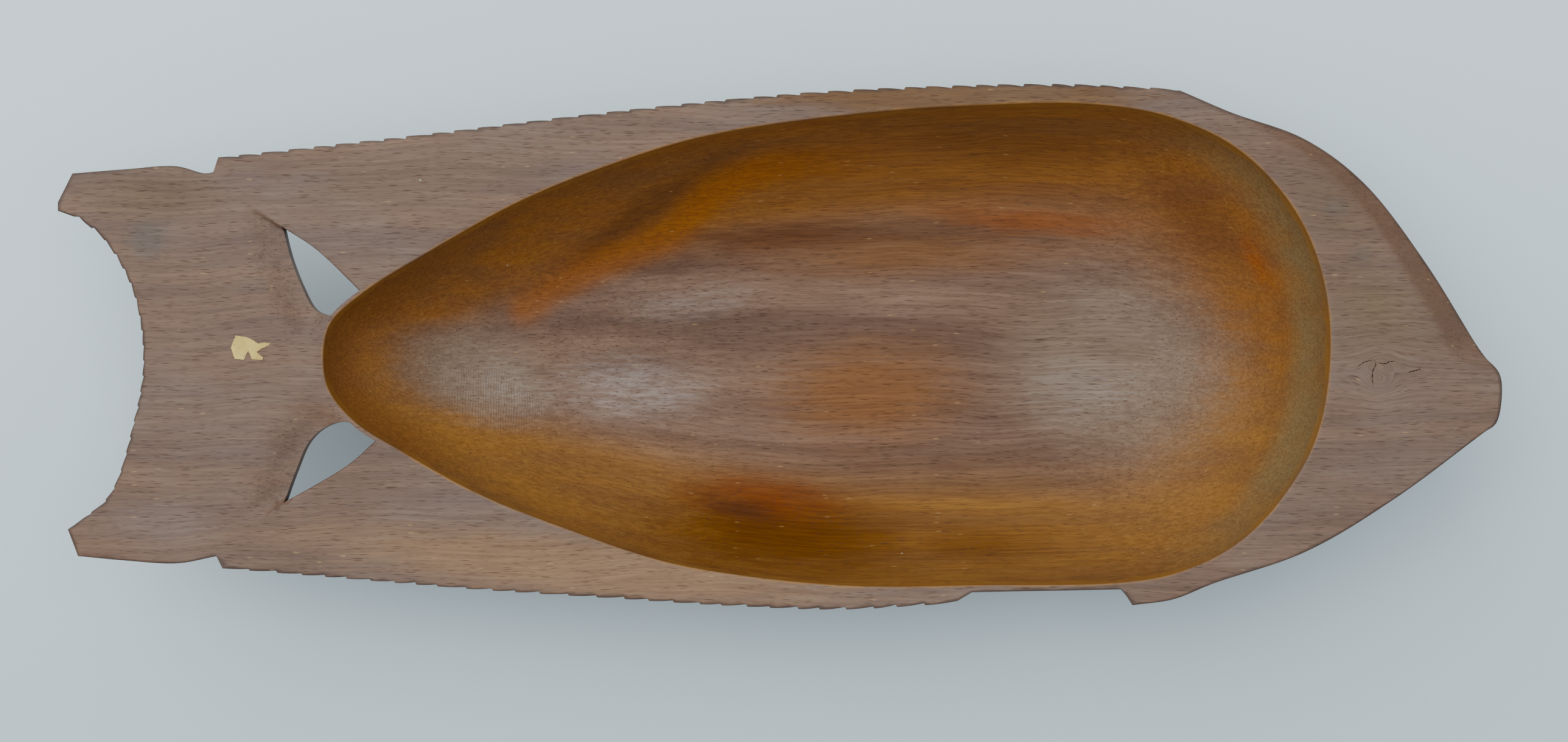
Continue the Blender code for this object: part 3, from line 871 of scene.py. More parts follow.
class NodeDesk:
    """Adds nodes to a tree. Each method returns the new node's first output, and takes sockets or plain
    values."""

    def __init__(self, tree):
        self.tree = tree

    def put(self, socket, value):
        if isinstance(value, bpy.types.NodeSocket):
            self.tree.links.new(value, socket)
        elif value is not None:
            socket.default_value = value

    def node(self, kind, inputs=(), **settings):
        made = self.tree.nodes.new(kind)
        for name, value in settings.items():
            setattr(made, name, value)
        for key, value in dict(inputs).items():
            self.put(made.inputs[key], value)
        return made

    def math(self, operation, *values, clamp=False):
        made = self.node("ShaderNodeMath", enumerate(values), operation=operation, use_clamp=clamp)
        return made.outputs[0]

    def times(self, first, second):
        return self.math("MULTIPLY", first, second)

    def plus(self, first, second):
        return self.math("ADD", first, second)

    def minus(self, first, second):
        return self.math("SUBTRACT", first, second)

    def vector(self, operation, *values):
        return self.node("ShaderNodeVectorMath", enumerate(values), operation=operation).outputs[0]

    def length(self, value):
        return self.node("ShaderNodeVectorMath", {0: value}, operation="LENGTH").outputs["Value"]

    def ease(self, value, low, high, start=0.0, end=1.0):
        """The value from low to high, eased to run from start to end."""
        inputs = {"Value": value, "From Min": low, "From Max": high, "To Min": start, "To Max": end}
        return self.node("ShaderNodeMapRange", inputs, interpolation_type="SMOOTHSTEP").outputs[0]

    def mix(self, share, first, second, blend="MIX"):
        """The first colour, mixed with the second by the share. A bare colour is a tuple of three."""
        first, second = (opaque(value) if isinstance(value, tuple) else value for value in (first, second))
        made = self.node("ShaderNodeMix", data_type="RGBA", blend_type=blend, clamp_factor=True)
        for socket, value in zip((made.inputs[0], made.inputs[6], made.inputs[7]), (share, first, second)):
            self.put(socket, value)
        return made.outputs[2]

    def scaled(self, place, scale):
        return self.vector("MULTIPLY", place, scale)

    def noise(self, place, detail=2.0, roughness=0.5):
        inputs = {"Vector": place, "Scale": 1.0, "Detail": detail, "Roughness": roughness}
        return self.node("ShaderNodeTexNoise", inputs).outputs["Fac"]

    def cells(self, place):
        """(distance to the nearest scattered point, that point's own random value)"""
        made = self.node("ShaderNodeTexVoronoi", {"Vector": place, "Scale": 1.0})
        own = self.node("ShaderNodeSeparateColor", {0: made.outputs["Color"]}).outputs[0]
        return made.outputs["Distance"], own

    def attribute(self, name):
        return self.node("ShaderNodeAttribute", attribute_name=name).outputs["Fac"]

    def group(self, tree, **inputs):
        made = self.node("ShaderNodeGroup", node_tree=tree)
        for name, value in inputs.items():
            self.put(made.inputs[name.replace("_", " ")], value)
        return made.outputs


def new_group(name, inputs, outputs):
    """(desk, its input sockets by name, its output node) of a new group. Each socket's name has its kind
    beside it."""
    tree = bpy.data.node_groups.new(name, "ShaderNodeTree")
    for socket, kind in inputs.items():
        tree.interface.new_socket(socket, in_out="INPUT", socket_type=kind)
    for socket, kind in outputs.items():
        tree.interface.new_socket(socket, in_out="OUTPUT", socket_type=kind)
    desk = NodeDesk(tree)
    return desk, desk.node("NodeGroupInput").outputs, desk.node("NodeGroupOutput")


FLOAT, VECTOR = "NodeSocketFloat", "NodeSocketVector"


def grain_sweep_group():
    """Bends straight grain round a knot, as water bends round a post: the way across the grain is scaled by
    1 less the square of the knot's radius over that of the distance from it."""
    desk, given, result = new_group(
        "grain_sweep", {"Place": VECTOR, "Knot": VECTOR, "Radius": FLOAT}, {"Swept": VECTOR})
    offset = desk.vector("SUBTRACT", given["Place"], given["Knot"])
    flat = desk.scaled(offset, (1.0, 1.0, 0.0))
    away = desk.length(flat)
    squared = desk.times(given["Radius"], given["Radius"])
    far = desk.plus(desk.times(away, away), desk.times(squared, 0.15))
    pull = desk.minus(1.0, desk.math("DIVIDE", squared, far))
    across = desk.node("ShaderNodeCombineXYZ", {0: 1.0, 1: pull, 2: 1.0}).outputs[0]
    swept = desk.vector("ADD", desk.vector("MULTIPLY", offset, across), given["Knot"])
    desk.put(result.inputs["Swept"], swept)
    return desk.tree


def wood_figure_group():
    """The wood's growth streaks, 6 to 20 mm wide and long along X, its finer bands, its fibre, and slow
    clouds."""
    desk, given, result = new_group(
        "wood_figure", {"Place": VECTOR}, {"Growth": FLOAT, "Bands": FLOAT, "Fibre": FLOAT, "Cloud": FLOAT})
    place = given["Place"]
    waver = desk.noise(desk.scaled(place, (9.0, 9.0, 9.0)), 2.0)
    shift = desk.node("ShaderNodeCombineXYZ", {1: desk.times(waver, 0.018)}).outputs[0]
    bent = desk.vector("ADD", place, shift)
    growth = desk.noise(desk.scaled(bent, (5.0, 95.0, 60.0)), 4.0, 0.6)
    fibre = desk.noise(desk.scaled(bent, (55.0, 1300.0, 1300.0)), 3.0, 0.65)
    cloud = desk.noise(desk.scaled(place, (16.0, 26.0, 26.0)), 4.0, 0.6)
    bands = desk.noise(desk.scaled(bent, (13.0, 800.0, 800.0)), 4.0, 0.7)
    desk.put(result.inputs["Growth"], desk.ease(growth, 0.32, 0.68))
    desk.put(result.inputs["Bands"], desk.ease(bands, 0.3, 0.7))
    desk.put(result.inputs["Fibre"], desk.ease(fibre, 0.25, 0.75))
    desk.put(result.inputs["Cloud"], desk.ease(cloud, 0.34, 0.66))
    return desk.tree


def open_pores_group():
    """Dashes along X, where scattered long pores break the surface. Spacing is the distance between them
    across the grain, Length how many times further apart they are along it, Reach their half width as a
    share of the spacing, and Share how many of them are there."""
    inputs = {"Place": VECTOR, "Spacing": FLOAT, "Length": FLOAT, "Reach": FLOAT, "Share": FLOAT}
    desk, given, result = new_group("open_pores", inputs, {"Pores": FLOAT})
    place, spacing = given["Place"], given["Spacing"]
    along = desk.times(spacing, given["Length"])
    size = desk.node("ShaderNodeCombineXYZ", {0: along, 1: spacing, 2: spacing}).outputs[0]
    waver = desk.noise(desk.scaled(place, (70.0, 260.0, 260.0)), 1.0)
    shift = desk.node("ShaderNodeCombineXYZ", {1: desk.times(waver, 0.0016)}).outputs[0]
    distance, own = desk.cells(desk.vector("DIVIDE", desk.vector("ADD", place, shift), size))
    dash = desk.ease(distance, given["Reach"], desk.times(given["Reach"], 0.45))
    here = desk.math("LESS_THAN", own, given["Share"])
    desk.put(result.inputs["Pores"], desk.times(dash, here))
    return desk.tree


def soft_patch_group():
    """A soft-edged oval patch in the plan: Middle and Size in metres, Turn in radians, Soft the share of
    its size that fades, and Ragged how far noise breaks its edge."""
    inputs = dict.fromkeys(("Place", "Middle", "Size"), VECTOR)
    inputs.update(dict.fromkeys(("Turn", "Soft", "Ragged"), FLOAT))
    desk, given, result = new_group("soft_patch", inputs, {"Patch": FLOAT})
    offset = desk.vector("SUBTRACT", given["Place"], given["Middle"])
    angle = desk.times(given["Turn"], -1.0)
    turned = desk.node("ShaderNodeVectorRotate", {"Vector": offset, "Angle": angle}, rotation_type="Z_AXIS")
    in_sizes = desk.vector("DIVIDE", turned.outputs[0], given["Size"])
    out = desk.length(desk.scaled(in_sizes, (1.0, 1.0, 0.0)))
    rough = desk.noise(desk.scaled(given["Place"], (45.0, 420.0, 200.0)), 4.0, 0.65)
    stray = desk.times(desk.minus(rough, 0.5), given["Ragged"])
    inner = desk.minus(1.0, given["Soft"])
    desk.put(result.inputs["Patch"], desk.ease(desk.plus(out, stray), 1.0, inner))
    return desk.tree


def wear_and_shade_line_group():
    """A line along an edge, used for wear along the rim and for painted shade along the outer edge: 1 at the
    edge, fading to 0 at Width from it, more and less by noise, and broken by noise by the share Broken."""
    inputs = {"Place": VECTOR, "Distance": FLOAT, "Width": FLOAT, "Broken": FLOAT}
    desk, given, result = new_group("wear_and_shade_line", inputs, {"Line": FLOAT})
    place = given["Place"]
    rough = desk.noise(desk.scaled(place, (110.0, 110.0, 110.0)), 3.0, 0.6)
    reach = desk.times(given["Width"], desk.ease(rough, 0.3, 0.7, 0.55, 1.45))
    share = desk.math("DIVIDE", desk.math("ABSOLUTE", given["Distance"]), reach)
    gap = desk.ease(desk.noise(desk.scaled(place, (38.0, 38.0, 38.0)), 3.0, 0.6), 0.3, 0.62)
    kept = desk.minus(1.0, desk.times(given["Broken"], desk.minus(1.0, gap)))
    desk.put(result.inputs["Line"], desk.times(desk.ease(share, 1.0, 0.2), kept))
    return desk.tree


def specks_group():
    """Scattered specks: Spacing between them in metres, Reach their size as a share of it, and Share how
    many."""
    inputs = {"Place": VECTOR, "Spacing": FLOAT, "Reach": FLOAT, "Share": FLOAT}
    desk, given, result = new_group("specks", inputs, {"Specks": FLOAT})
    distance, own = desk.cells(desk.vector("DIVIDE", given["Place"], given["Spacing"]))
    speck = desk.ease(distance, given["Reach"], desk.times(given["Reach"], 0.5))
    here = desk.math("LESS_THAN", own, given["Share"])
    desk.put(result.inputs["Specks"], desk.times(speck, here))
    return desk.tree


def effect_groups():
    """The shared effects by name, each built once."""
    makers = {
        "grain_sweep": grain_sweep_group, "wood_figure": wood_figure_group, "open_pores": open_pores_group,
        "soft_patch": soft_patch_group, "wear_and_shade_line": wear_and_shade_line_group, "specks": specks_group}
    return {name: bpy.data.node_groups.get(name) or make() for name, make in makers.items()}


def new_material(name):
    """(material, desk, its Principled BSDF)"""
    material = bpy.data.materials.new(name)
    material.use_nodes = True
    return material, NodeDesk(material.node_tree), material.node_tree.nodes["Principled BSDF"]


# Tints in the hollow, painted in this order, among them painted sheen on the floor and painted shade on the
# back wall: a colour, then places in drawn millimetres, each with its middle, half sizes, turn in degrees,
# softness, raggedness and strength.
HOLLOW_TINTS = [
    # Painted sheen: a pale mauve haze on the floor where the overhead light is mirrored.
    ((0.27, 0.185, 0.125), [
        ((122, -6), (58, 46), -4, 0.7, 0.5, 0.75), ((-110, -9), (38, 22), -14, 0.8, 0.5, 0.9)]),
    ((0.25, 0.095, 0.022), [
        ((32, -16), (50, 28), 2, 0.8, 0.6, 0.85), ((44, 34), (84, 12), 2, 0.9, 0.7, 0.7)]),
    ((0.155, 0.047, 0.001), [
        ((2, -66), (76, 23), -3, 0.9, 0.5, 1.0), ((66, -70), (50, 12), 0, 1.0, 0.5, 0.6)]),
    ((0.21, 0.044, 0.002), [((-6, -54), (42, 12), -6, 0.9, 0.7, 0.8)]),
    # Painted shade: the next two tints darken the back wall, which faces away from the key light.
    ((0.12, 0.040, 0.009), [
        ((-52, 46), (62, 8), 33, 0.9, 0.6, 0.65), ((86, 72), (80, 11), -2, 0.9, 0.6, 0.4)]),
    ((0.15, 0.048, 0.012), [
        ((0, 40), (56, 8), 4, 0.9, 0.8, 0.7), ((150, 46), (36, 13), -42, 0.9, 0.7, 0.6)]),
    ((0.09, 0.030, 0.009), [((-14, -58), (24, 6), -14, 1.0, 0.9, 0.7)]),
    ((0.34, 0.085, 0.006), [
        ((170, 30), (15, 5), -62, 1.0, 0.8, 0.7), ((92, 46), (52, 7), -4, 0.9, 0.9, 0.6)]),
]

# Tints on the top faces, in the same form.
TOP_TINTS = [
    ((0.175, 0.078, 0.020), [((60, 87), (86, 8), 0, 0.5, 0.6, 1.0)]),
    ((0.31, 0.165, 0.074), [
        ((-70, -76), (126, 14), -6, 0.7, 0.7, 0.85), ((-20, 86), (50, 5), 5, 0.8, 0.7, 0.2)]),
    ((0.155, 0.085, 0.038), [
        ((-218, 52), (32, 13), 0, 0.8, 0.7, 0.75), ((190, 52), (26, 18), -50, 0.9, 0.8, 0.6)]),
    ((0.18, 0.105, 0.040), [
        ((206, 12), (28, 26), -20, 0.9, 0.8, 0.6), ((-120, 60), (60, 12), 8, 0.9, 0.8, 0.35)]),
    ((0.25, 0.175, 0.14), [((-216, -62), (30, 14), 0, 0.9, 0.8, 0.45)]),
]

# Places polished by use, which get both real gloss and a painted sheen, the gouge facets that a polish and its
# painted sheen end at, places where the gouge chattered across the grain, and dark stains, in the same form.
POLISHED = [
    ((-54, -15), (40, 17), -4, 0.8, 0.5, 1.0), ((-98, -14), (32, 12), -14, 0.9, 0.5, 0.6),
    ((108, -14), (36, 19), 0, 0.9, 0.5, 0.65), ((-30, 16), (38, 9), 6, 0.8, 0.5, 0.6),
    ((122, 16), (36, 20), -20, 1.0, 0.5, 0.3)]
FACETS = [
    ((-64, -10), (44, 40), 0, 0.05, 0.06, 1.0), ((132, -4), (46, 46), 0, 0.05, 0.08, 1.0),
    ((-36, 22), (30, 16), 10, 0.08, 0.1, 0.7)]
CHATTER = [((-104, -18), (25, 15), -16, 0.7, 0.8, 1.0)]
STAINS = [
    ((-219, 37), (10, 9), 0, 0.7, 0.6, 0.7), ((192, 48), (8, 6), 0, 0.9, 0.8, 0.5),
    ((201, 32), (7, 5), 20, 0.9, 0.8, 0.5), ((-183, 22), (10, 5), 0, 0.9, 0.9, 0.35)]

# Colours of single marks in the wood, some of them painted highlight, sheen and shade, and of the darker
# growth and fibre that it is multiplied by.
# Painted highlight: the bright orange reflection band down the hollow's back wall.
STREAK_HIGHLIGHT = (0.34, 0.098, 0.004)
TAIL_BAND = (0.24, 0.088, 0.017)
# Painted sheen: the pale haze laid on the polished places.
POLISH_SHEEN = (0.31, 0.26, 0.235)
# Painted sheen on the chatter ripples, which are also real bumps.
CHATTER_SHEEN = (0.36, 0.26, 0.19)
STAIN = (0.10, 0.10, 0.085)
DARK_BANDS = (0.62, 0.52, 0.48)
DARK_FIBRE = (0.52, 0.42, 0.38)
# Painted shade on the brow's facet, which slopes away from the light.
BROW_SHADE = (0.13, 0.058, 0.027)
# Painted shade along the outer edge, where it rounds over.
EDGE_SHADE = (0.045, 0.020, 0.011)
PORE_DEPOSIT = (0.50, 0.30, 0.11)
DUST = (0.62, 0.56, 0.46)
PAPER_BROWN = (0.50, 0.30, 0.09)
PAPER_GRIME = (0.24, 0.13, 0.05)

# The wood's pores, and the pores filled with a pale deposit. Then specks of dust on it, and of grime on the
# paper.
COARSE_PORES = {"Spacing": 0.00066, "Length": 14.0, "Reach": 0.25, "Share": 0.8}
FINE_PORES = {"Spacing": 0.00040, "Length": 13.0, "Reach": 0.3, "Share": 0.75}
FILLED_PORES = {"Spacing": 0.0016, "Length": 5.0, "Reach": 0.18, "Share": 0.12}
DUST_SPECKS = {"Spacing": 0.014, "Reach": 0.03, "Share": 0.14}
GRIME_SPECKS = {"Spacing": 0.0016, "Reach": 0.26, "Share": 0.4}
KNOT_RADIUS = 0.0055
CHATTER_TURNS = 7000.0


def patches(desk, place, rows):
    """The strongest of several soft patches at each point."""
    strongest = None
    for (x, y), (half_length, half_width), turn, soft, ragged, strength in rows:
        middle, size = (x * MM, y * MM, 0.0), (half_length * MM, half_width * MM, 1.0)
        shape = {"Middle": middle, "Size": size, "Turn": np.radians(turn), "Soft": soft, "Ragged": ragged}
        patch = desk.group(effect_groups()["soft_patch"], Place=place, **shape)[0]
        patch = desk.times(patch, strength)
        strongest = patch if strongest is None else desk.math("MAXIMUM", strongest, patch)
    return strongest


def painted(desk, place, wood, tints):
    """The wood, with each tint mixed in where its patches lie."""
    for tint, rows in tints:
        wood = desk.mix(patches(desk, place, rows), wood, tint)
    return wood


def hollow_wood(desk, place, figure, finish):
    """The oiled hollow: warm on its floor, in a muted colour that partly stands for painted sheen,
    orange-brown up the back wall and ochre up the belly wall under the painted tints, some of them painted
    sheen and painted shade, with a streak of painted highlight, an olive band inside the head's rim and a
    brown one inside the tail's."""
    split = desk.node("ShaderNodeSeparateXYZ", {0: place})
    x, y = split.outputs["X"], split.outputs["Y"]
    # Faces that turn up take the floor's colour, which is partly painted sheen; steep faces take the walls'
    # saturated colours.
    steep = desk.ease(desk.attribute("facing_up"), 0.985, 0.80, 0.0, 0.92)
    growth = figure["Growth"]
    floor = desk.mix(desk.times(growth, 0.8), finish.floor[:], finish.deep[:])
    wall = desk.mix(desk.ease(y, 0.012, -0.03), finish.oiled[:], finish.ochre[:])
    wall = desk.mix(desk.times(growth, 0.4), wall, finish.deep[:])
    wood = painted(desk, place, desk.mix(steep, floor, wall), HOLLOW_TINTS)
    band = desk.ease(desk.attribute("from_rim"), -0.012, -0.005)
    olive = desk.times(band, desk.ease(x, 0.12, 0.182, 0.0, 0.9))
    olive = desk.times(olive, desk.ease(figure["Cloud"], 0.0, 1.0, 1.0, 0.5))
    wood = desk.mix(olive, wood, finish.olive[:])
    wood = desk.mix(desk.times(band, desk.ease(x, -0.10, -0.14, 0.0, 0.8)), wood, TAIL_BAND)
    # A streak of painted highlight, a bright orange reflection band, down the back wall from the tail to about
    # the middle.
    waver = desk.noise(desk.scaled(place, (60.0, 60.0, 60.0)), 3.0, 0.6)
    away = desk.plus(desk.attribute("from_streak"), desk.times(desk.minus(waver, 0.5), 0.004))
    streak = desk.times(desk.ease(away, 0.0095, 0.001, 0.0, 0.7), desk.ease(x, 0.055, -0.01))
    return desk.mix(streak, wood, STREAK_HIGHLIGHT)


def chatter_marks(desk, place):
    """Fine ripples 0.9 mm apart that run across the grain and waver: half of 1 plus the sine of the way
    along X."""
    waver = desk.noise(desk.scaled(place, (240.0, 90.0, 90.0)), 2.0)
    along = desk.node("ShaderNodeSeparateXYZ", {0: place}).outputs["X"]
    turn = desk.plus(desk.times(along, CHATTER_TURNS), desk.times(waver, 16.0))
    return desk.math("MULTIPLY_ADD", desk.math("SINE", turn), 0.5, 0.5)


def polish(desk, place, figure, hollow):
    """How far use has polished the hollow: strongest in its patches, less beyond a gouge facet and in dark
    bands. It sets both the real gloss and the painted sheen."""
    polished = desk.times(patches(desk, place, POLISHED), hollow)
    polished = desk.times(polished, desk.ease(patches(desk, place, FACETS), 0.0, 1.0, 0.25, 1.0))
    return desk.times(polished, desk.ease(figure["Bands"], 0.1, 0.8, 1.0, 0.45))


def worn_and_shaded_edges(desk, place, wood, finish):
    """The wood, ochre along the hollow's rim where it is worn, with painted shade on the brow's facet and a
    line of painted shade along the outer edge, where it rounds over.
    """
    wear_and_shade_line = effect_groups()["wear_and_shade_line"]
    from_rim, from_edge = desk.attribute("from_rim"), desk.attribute("from_edge")
    rim_line = desk.group(wear_and_shade_line, Place=place, Distance=from_rim, Width=0.0009, Broken=0.85)[0]
    facing = desk.ease(desk.attribute("facing_up"), -0.1, 0.1, 0.0, 0.7)
    wood = desk.mix(desk.times(rim_line, facing), wood, finish.ochre[:])
    split = desk.node("ShaderNodeSeparateXYZ", {0: place})
    # Painted shade on the brow's facet.
    brow = desk.times(desk.ease(from_edge, 0.011, 0.006), desk.ease(split.outputs["X"], 0.14, 0.2))
    brow = desk.times(brow, desk.ease(split.outputs["Y"], -0.012, 0.004, 0.0, 0.6))
    wood = desk.mix(brow, wood, BROW_SHADE)
    # A line of painted shade along the outer edge, where it rounds over.
    edge_shade_line = desk.group(wear_and_shade_line, Place=place, Distance=from_edge, Width=0.0013, Broken=0.4)[0]
    return desk.mix(desk.times(edge_shade_line, 0.75), wood, EDGE_SHADE)


def carved_hardwood(finish):
    """Old tropical hardwood: dry and mauve-brown where it is handled, oiled orange and red-brown in the
    hollow."""
    material, desk, shader = new_material("carved_hardwood")
    groups = effect_groups()
    place = desk.node("ShaderNodeTexCoord").outputs["Object"]
    knot = (*stretched([KNOT])[0], 0.0)
    swept = desk.group(groups["grain_sweep"], Place=place, Knot=knot, Radius=KNOT_RADIUS)[0]
    figure = desk.group(groups["wood_figure"], Place=swept)
    fibre, cloud, bands = figure["Fibre"], figure["Cloud"], figure["Bands"]
    hollow, up = desk.attribute("in_hollow"), desk.attribute("facing_up")

    top = desk.mix(desk.times(figure["Growth"], 0.85), finish.heart[:], finish.deep[:])
    top = painted(desk, place, desk.mix(desk.times(cloud, 0.5), top, finish.bloom[:]), TOP_TINTS)
    wood = desk.mix(hollow, top, hollow_wood(desk, place, figure, finish))
    polished = polish(desk, place, figure, hollow)
    # Painted sheen on the polished places, on top of their real gloss.
    wood = desk.mix(desk.times(polished, 0.3), wood, POLISH_SHEEN)
    ripple = desk.times(chatter_marks(desk, place), patches(desk, place, CHATTER))
    # Pale stripes of painted sheen on the chatter ripples; the ripples themselves are also bumped.
    wood = desk.mix(desk.times(ripple, 0.4), wood, CHATTER_SHEEN)
    wood = desk.mix(desk.times(patches(desk, place, STAINS), 0.6), wood, STAIN)
    wood = desk.mix(desk.ease(bands, 0.0, 1.0, 0.0, 0.34), wood, DARK_BANDS, "MULTIPLY")
    wood = desk.mix(desk.ease(fibre, 0.0, 1.0, 0.0, 0.5), wood, DARK_FIBRE, "MULTIPLY")
    wood = desk.mix(desk.ease(up, 0.2, -0.2, 0.0, 0.5), wood, finish.deep[:])
    wood = worn_and_shaded_edges(desk, place, wood, finish)

    coarse = desk.group(groups["open_pores"], Place=swept, **COARSE_PORES)[0]
    fine = desk.group(groups["open_pores"], Place=swept, **FINE_PORES)[0]
    pores = desk.math("MAXIMUM", coarse, desk.times(fine, 0.6))
    wood = desk.mix(desk.times(pores, 0.55), wood, finish.pore[:])
    filled = desk.group(groups["open_pores"], Place=swept, **FILLED_PORES)[0]
    wood = desk.mix(desk.times(filled, 0.4), wood, PORE_DEPOSIT)
    dust = desk.group(groups["specks"], Place=place, **DUST_SPECKS)[0]
    desk.put(shader.inputs["Base Color"], desk.mix(desk.times(dust, 0.6), wood, DUST))

    rough = desk.plus(finish.roughness, desk.times(cloud, 0.16))
    rough = desk.minus(rough, desk.times(hollow, 0.1))
    rough = desk.minus(rough, desk.times(polished, 0.1))
    rough = desk.math("ADD", rough, desk.times(pores, 0.25), clamp=True)
    desk.put(shader.inputs["Roughness"], rough)
    gloss = desk.minus(0.42, desk.times(hollow, 0.26))
    desk.put(shader.inputs["Specular IOR Level"], desk.plus(gloss, desk.times(polished, 0.4)))
    height = desk.plus(desk.minus(desk.times(fibre, 0.3), pores), desk.times(ripple, 0.9))
    bump = desk.node("ShaderNodeBump", {"Height": height, "Strength": 0.35, "Distance": 0.00025})
    desk.put(shader.inputs["Normal"], bump.outputs[0])
    return material


def yellowed_paper(finish):
    """Old paper: yellow, browner in slow clouds and a little fibrous, with specks of brown grime."""
    material, desk, shader = new_material("yellowed_paper")
    groups = effect_groups()
    place = desk.node("ShaderNodeTexCoord").outputs["Object"]
    figure = desk.group(groups["wood_figure"], Place=desk.scaled(place, (9.0, 3.0, 3.0)))
    paper = desk.mix(desk.times(figure["Cloud"], 0.5), finish.paper[:], PAPER_BROWN)
    grime = desk.group(groups["specks"], Place=place, **GRIME_SPECKS)[0]
    desk.put(shader.inputs["Base Color"], desk.mix(desk.times(grime, 0.45), paper, PAPER_GRIME))
    desk.put(shader.inputs["Roughness"], desk.ease(figure["Cloud"], 0.0, 1.0, 0.6, 0.8))
    bump = desk.node("ShaderNodeBump", {"Height": figure["Fibre"], "Strength": 0.3, "Distance": 0.0001})
    desk.put(shader.inputs["Normal"], bump.outputs[0])
    return material


def pale_table(settings):
    """A pale, blue-grey painted board, faintly uneven, and darker along its near side by painted shade."""
    material, desk, shader = new_material("pale_table")
    place = desk.node("ShaderNodeTexCoord").outputs["Object"]
    cloud = desk.noise(desk.scaled(place, (3.0, 3.0, 3.0)), 3.0, 0.5)
    y = desk.node("ShaderNodeSeparateXYZ", {0: place}).outputs["Y"]
    # Painted shade: the table darkens towards its near side.
    lit_share = desk.times(desk.ease(y, -0.25, 0.22, 0.25, 1.0), desk.ease(cloud, 0.2, 0.8, 0.9, 1.0))
    near = tuple(channel * NEAR_SIDE_SHADE for channel in settings.table)
    desk.put(shader.inputs["Base Color"], desk.mix(lit_share, near, settings.table[:]))
    desk.put(shader.inputs["Roughness"], desk.ease(cloud, 0.3, 0.7, 0.72, 0.8))
    return material


# ---------------------------------------------------------------- stage


TABLE_HALF = 3.0
# How far the painted shade darkens the table's near side.
NEAR_SIDE_SHADE = 0.7
# Each light's place, size and tint.
SIDE_LIGHT = ((-0.9, 1.0, 1.7), (2.4, 1.7), (0.90, 0.97, 1.0))
TOP_LIGHT = ((0.0, 0.1, 2.0), (1.7, 1.3), (0.92, 0.97, 1.0))
SKY = (0.78, 0.91, 1.0)
SENSOR_WIDTH = 36.0
CAMERA_PLACE = (0.0014, -0.0084)


def area_light(name, power, place, size, tint):
    """A broad light at the place, aimed at the origin."""
    data = bpy.data.lights.new(name, "AREA")
    data.shape, data.size, data.size_y = "RECTANGLE", *size
    data.energy, data.color = power, tint
    light = bpy.data.objects.new(name, data)
    light.location = place
    light.rotation_euler = direction_euler(0.0 - np.array(place))
    bpy.context.scene.collection.objects.link(light)


def direction_euler(towards):
    """The turns about X and then Z that point an object's -Z that way."""
    across = np.hypot(towards[0], towards[1])
    return (np.arctan2(across, -towards[2]), 0.0, np.arctan2(-towards[0], towards[1]))


class UndoableStep:
    """What the operators share."""

    bl_options = {"REGISTER", "UNDO"}


class FISHBOWL_OT_carving(UndoableStep, bpy.types.Operator):
    """Carves the wooden fish with its hollow, fins, tail and pierced openings"""

    bl_idname = "fishbowl.carving"
    bl_label = "Carve Fish"

    def execute(self, context):
        carving = make_carving(context.scene.fishbowl_sizes)
        carving.data.materials.append(carved_hardwood(context.scene.fishbowl_wood))
        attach(carving, "root")
        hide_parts("carved_body")
        return {"FINISHED"}


class FISHBOWL_OT_label(UndoableStep, bpy.types.Operator):
    """Pastes the torn scrap of paper on the tail"""

    bl_idname = "fishbowl.label"
    bl_label = "Paste Label Scrap"

    def execute(self, context):
        scrap = make_label(context.scene.fishbowl_label)
        scrap.data.materials.append(yellowed_paper(context.scene.fishbowl_label))
        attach(scrap, "root")
        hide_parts("label_scrap")
        return {"FINISHED"}


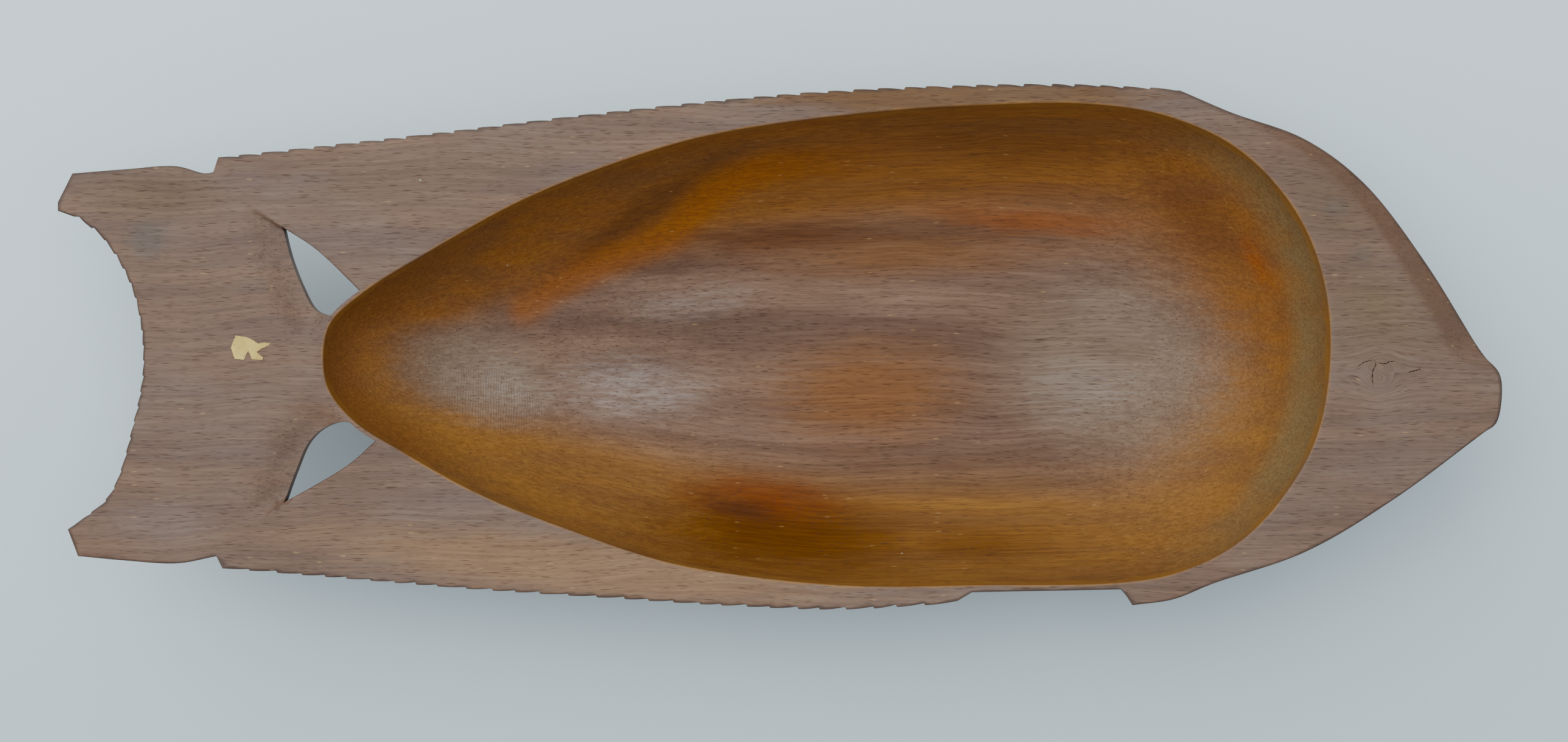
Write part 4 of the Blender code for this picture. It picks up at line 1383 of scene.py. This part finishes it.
class FISHBOWL_OT_stage(UndoableStep, bpy.types.Operator):
    """Sets the pale table, the soft light and the camera"""

    bl_idname = "fishbowl.stage"
    bl_label = "Set Stage"

    def execute(self, context):
        settings = context.scene.fishbowl_stage
        half = TABLE_HALF
        corners = [(-half, -half, 0), (half, -half, 0), (half, half, 0), (-half, half, 0)]
        mesh = bpy.data.meshes.new("table")
        mesh.from_pydata(corners, [], [(0, 1, 2, 3)])
        table = bpy.data.objects.new("table", mesh)
        table.data.materials.append(pale_table(settings))
        context.scene.collection.objects.link(table)
        area_light("side_light", settings.side_power, *SIDE_LIGHT)
        area_light("top_light", settings.top_power, *TOP_LIGHT)
        world = bpy.data.worlds.new("soft_sky")
        world.use_nodes = True
        sky = world.node_tree.nodes["Background"]
        sky.inputs["Color"].default_value = opaque(SKY)
        sky.inputs["Strength"].default_value = settings.sky
        context.scene.world = world
        self.set_camera(context, settings)
        return {"FINISHED"}

    def set_camera(self, context, settings):
        """A camera straight above, whose lens takes in the view's width at the fins' height."""
        data = bpy.data.cameras.new("camera")
        data.sensor_width = SENSOR_WIDTH
        data.lens = data.sensor_width * settings.camera_height / settings.view_width
        camera = bpy.data.objects.new("camera", data)
        camera.location = (*CAMERA_PLACE, TOP + settings.camera_height)
        context.scene.collection.objects.link(camera)
        context.scene.camera = camera


class FISHBOWL_PT_panel(bpy.types.Panel):
    """Lists the pieces and their settings"""

    bl_idname = "FISHBOWL_PT_panel"
    bl_label = "Fish Bowl"
    bl_space_type = "VIEW_3D"
    bl_region_type = "UI"
    bl_category = "Fish Bowl"

    def draw(self, context):
        rows = [("fishbowl.carving", "fishbowl_sizes"), ("fishbowl.carving", "fishbowl_wood")]
        rows += [("fishbowl.label", "fishbowl_label"), ("fishbowl.stage", "fishbowl_stage")]
        for operator, group in rows:
            box = self.layout.box()
            box.operator(operator)
            settings = getattr(context.scene, group)
            for name in settings.bl_rna.properties.keys():
                if name not in ("rna_type", "name"):
                    box.prop(settings, name)


GROUPS = {
    "fishbowl_sizes": CarvingSizes,
    "fishbowl_wood": WoodFinish,
    "fishbowl_label": LabelFinish,
    "fishbowl_stage": StageSettings,
}
CLASSES = (FISHBOWL_OT_carving, FISHBOWL_OT_label, FISHBOWL_OT_stage, FISHBOWL_PT_panel)


def register():
    for name, group in GROUPS.items():
        bpy.utils.register_class(group)
        setattr(bpy.types.Scene, name, bpy.props.PointerProperty(type=group))
    for made in CLASSES:
        bpy.utils.register_class(made)


def unregister():
    for made in reversed(CLASSES):
        bpy.utils.unregister_class(made)
    for name, group in reversed(GROUPS.items()):
        delattr(bpy.types.Scene, name)
        bpy.utils.unregister_class(group)


def main():
    register()
    for operator in (bpy.ops.fishbowl.carving, bpy.ops.fishbowl.label, bpy.ops.fishbowl.stage):
        if operator() != {"FINISHED"}:
            raise RuntimeError(f"{operator} didn't finish")


if __name__ == "__main__":
    main()
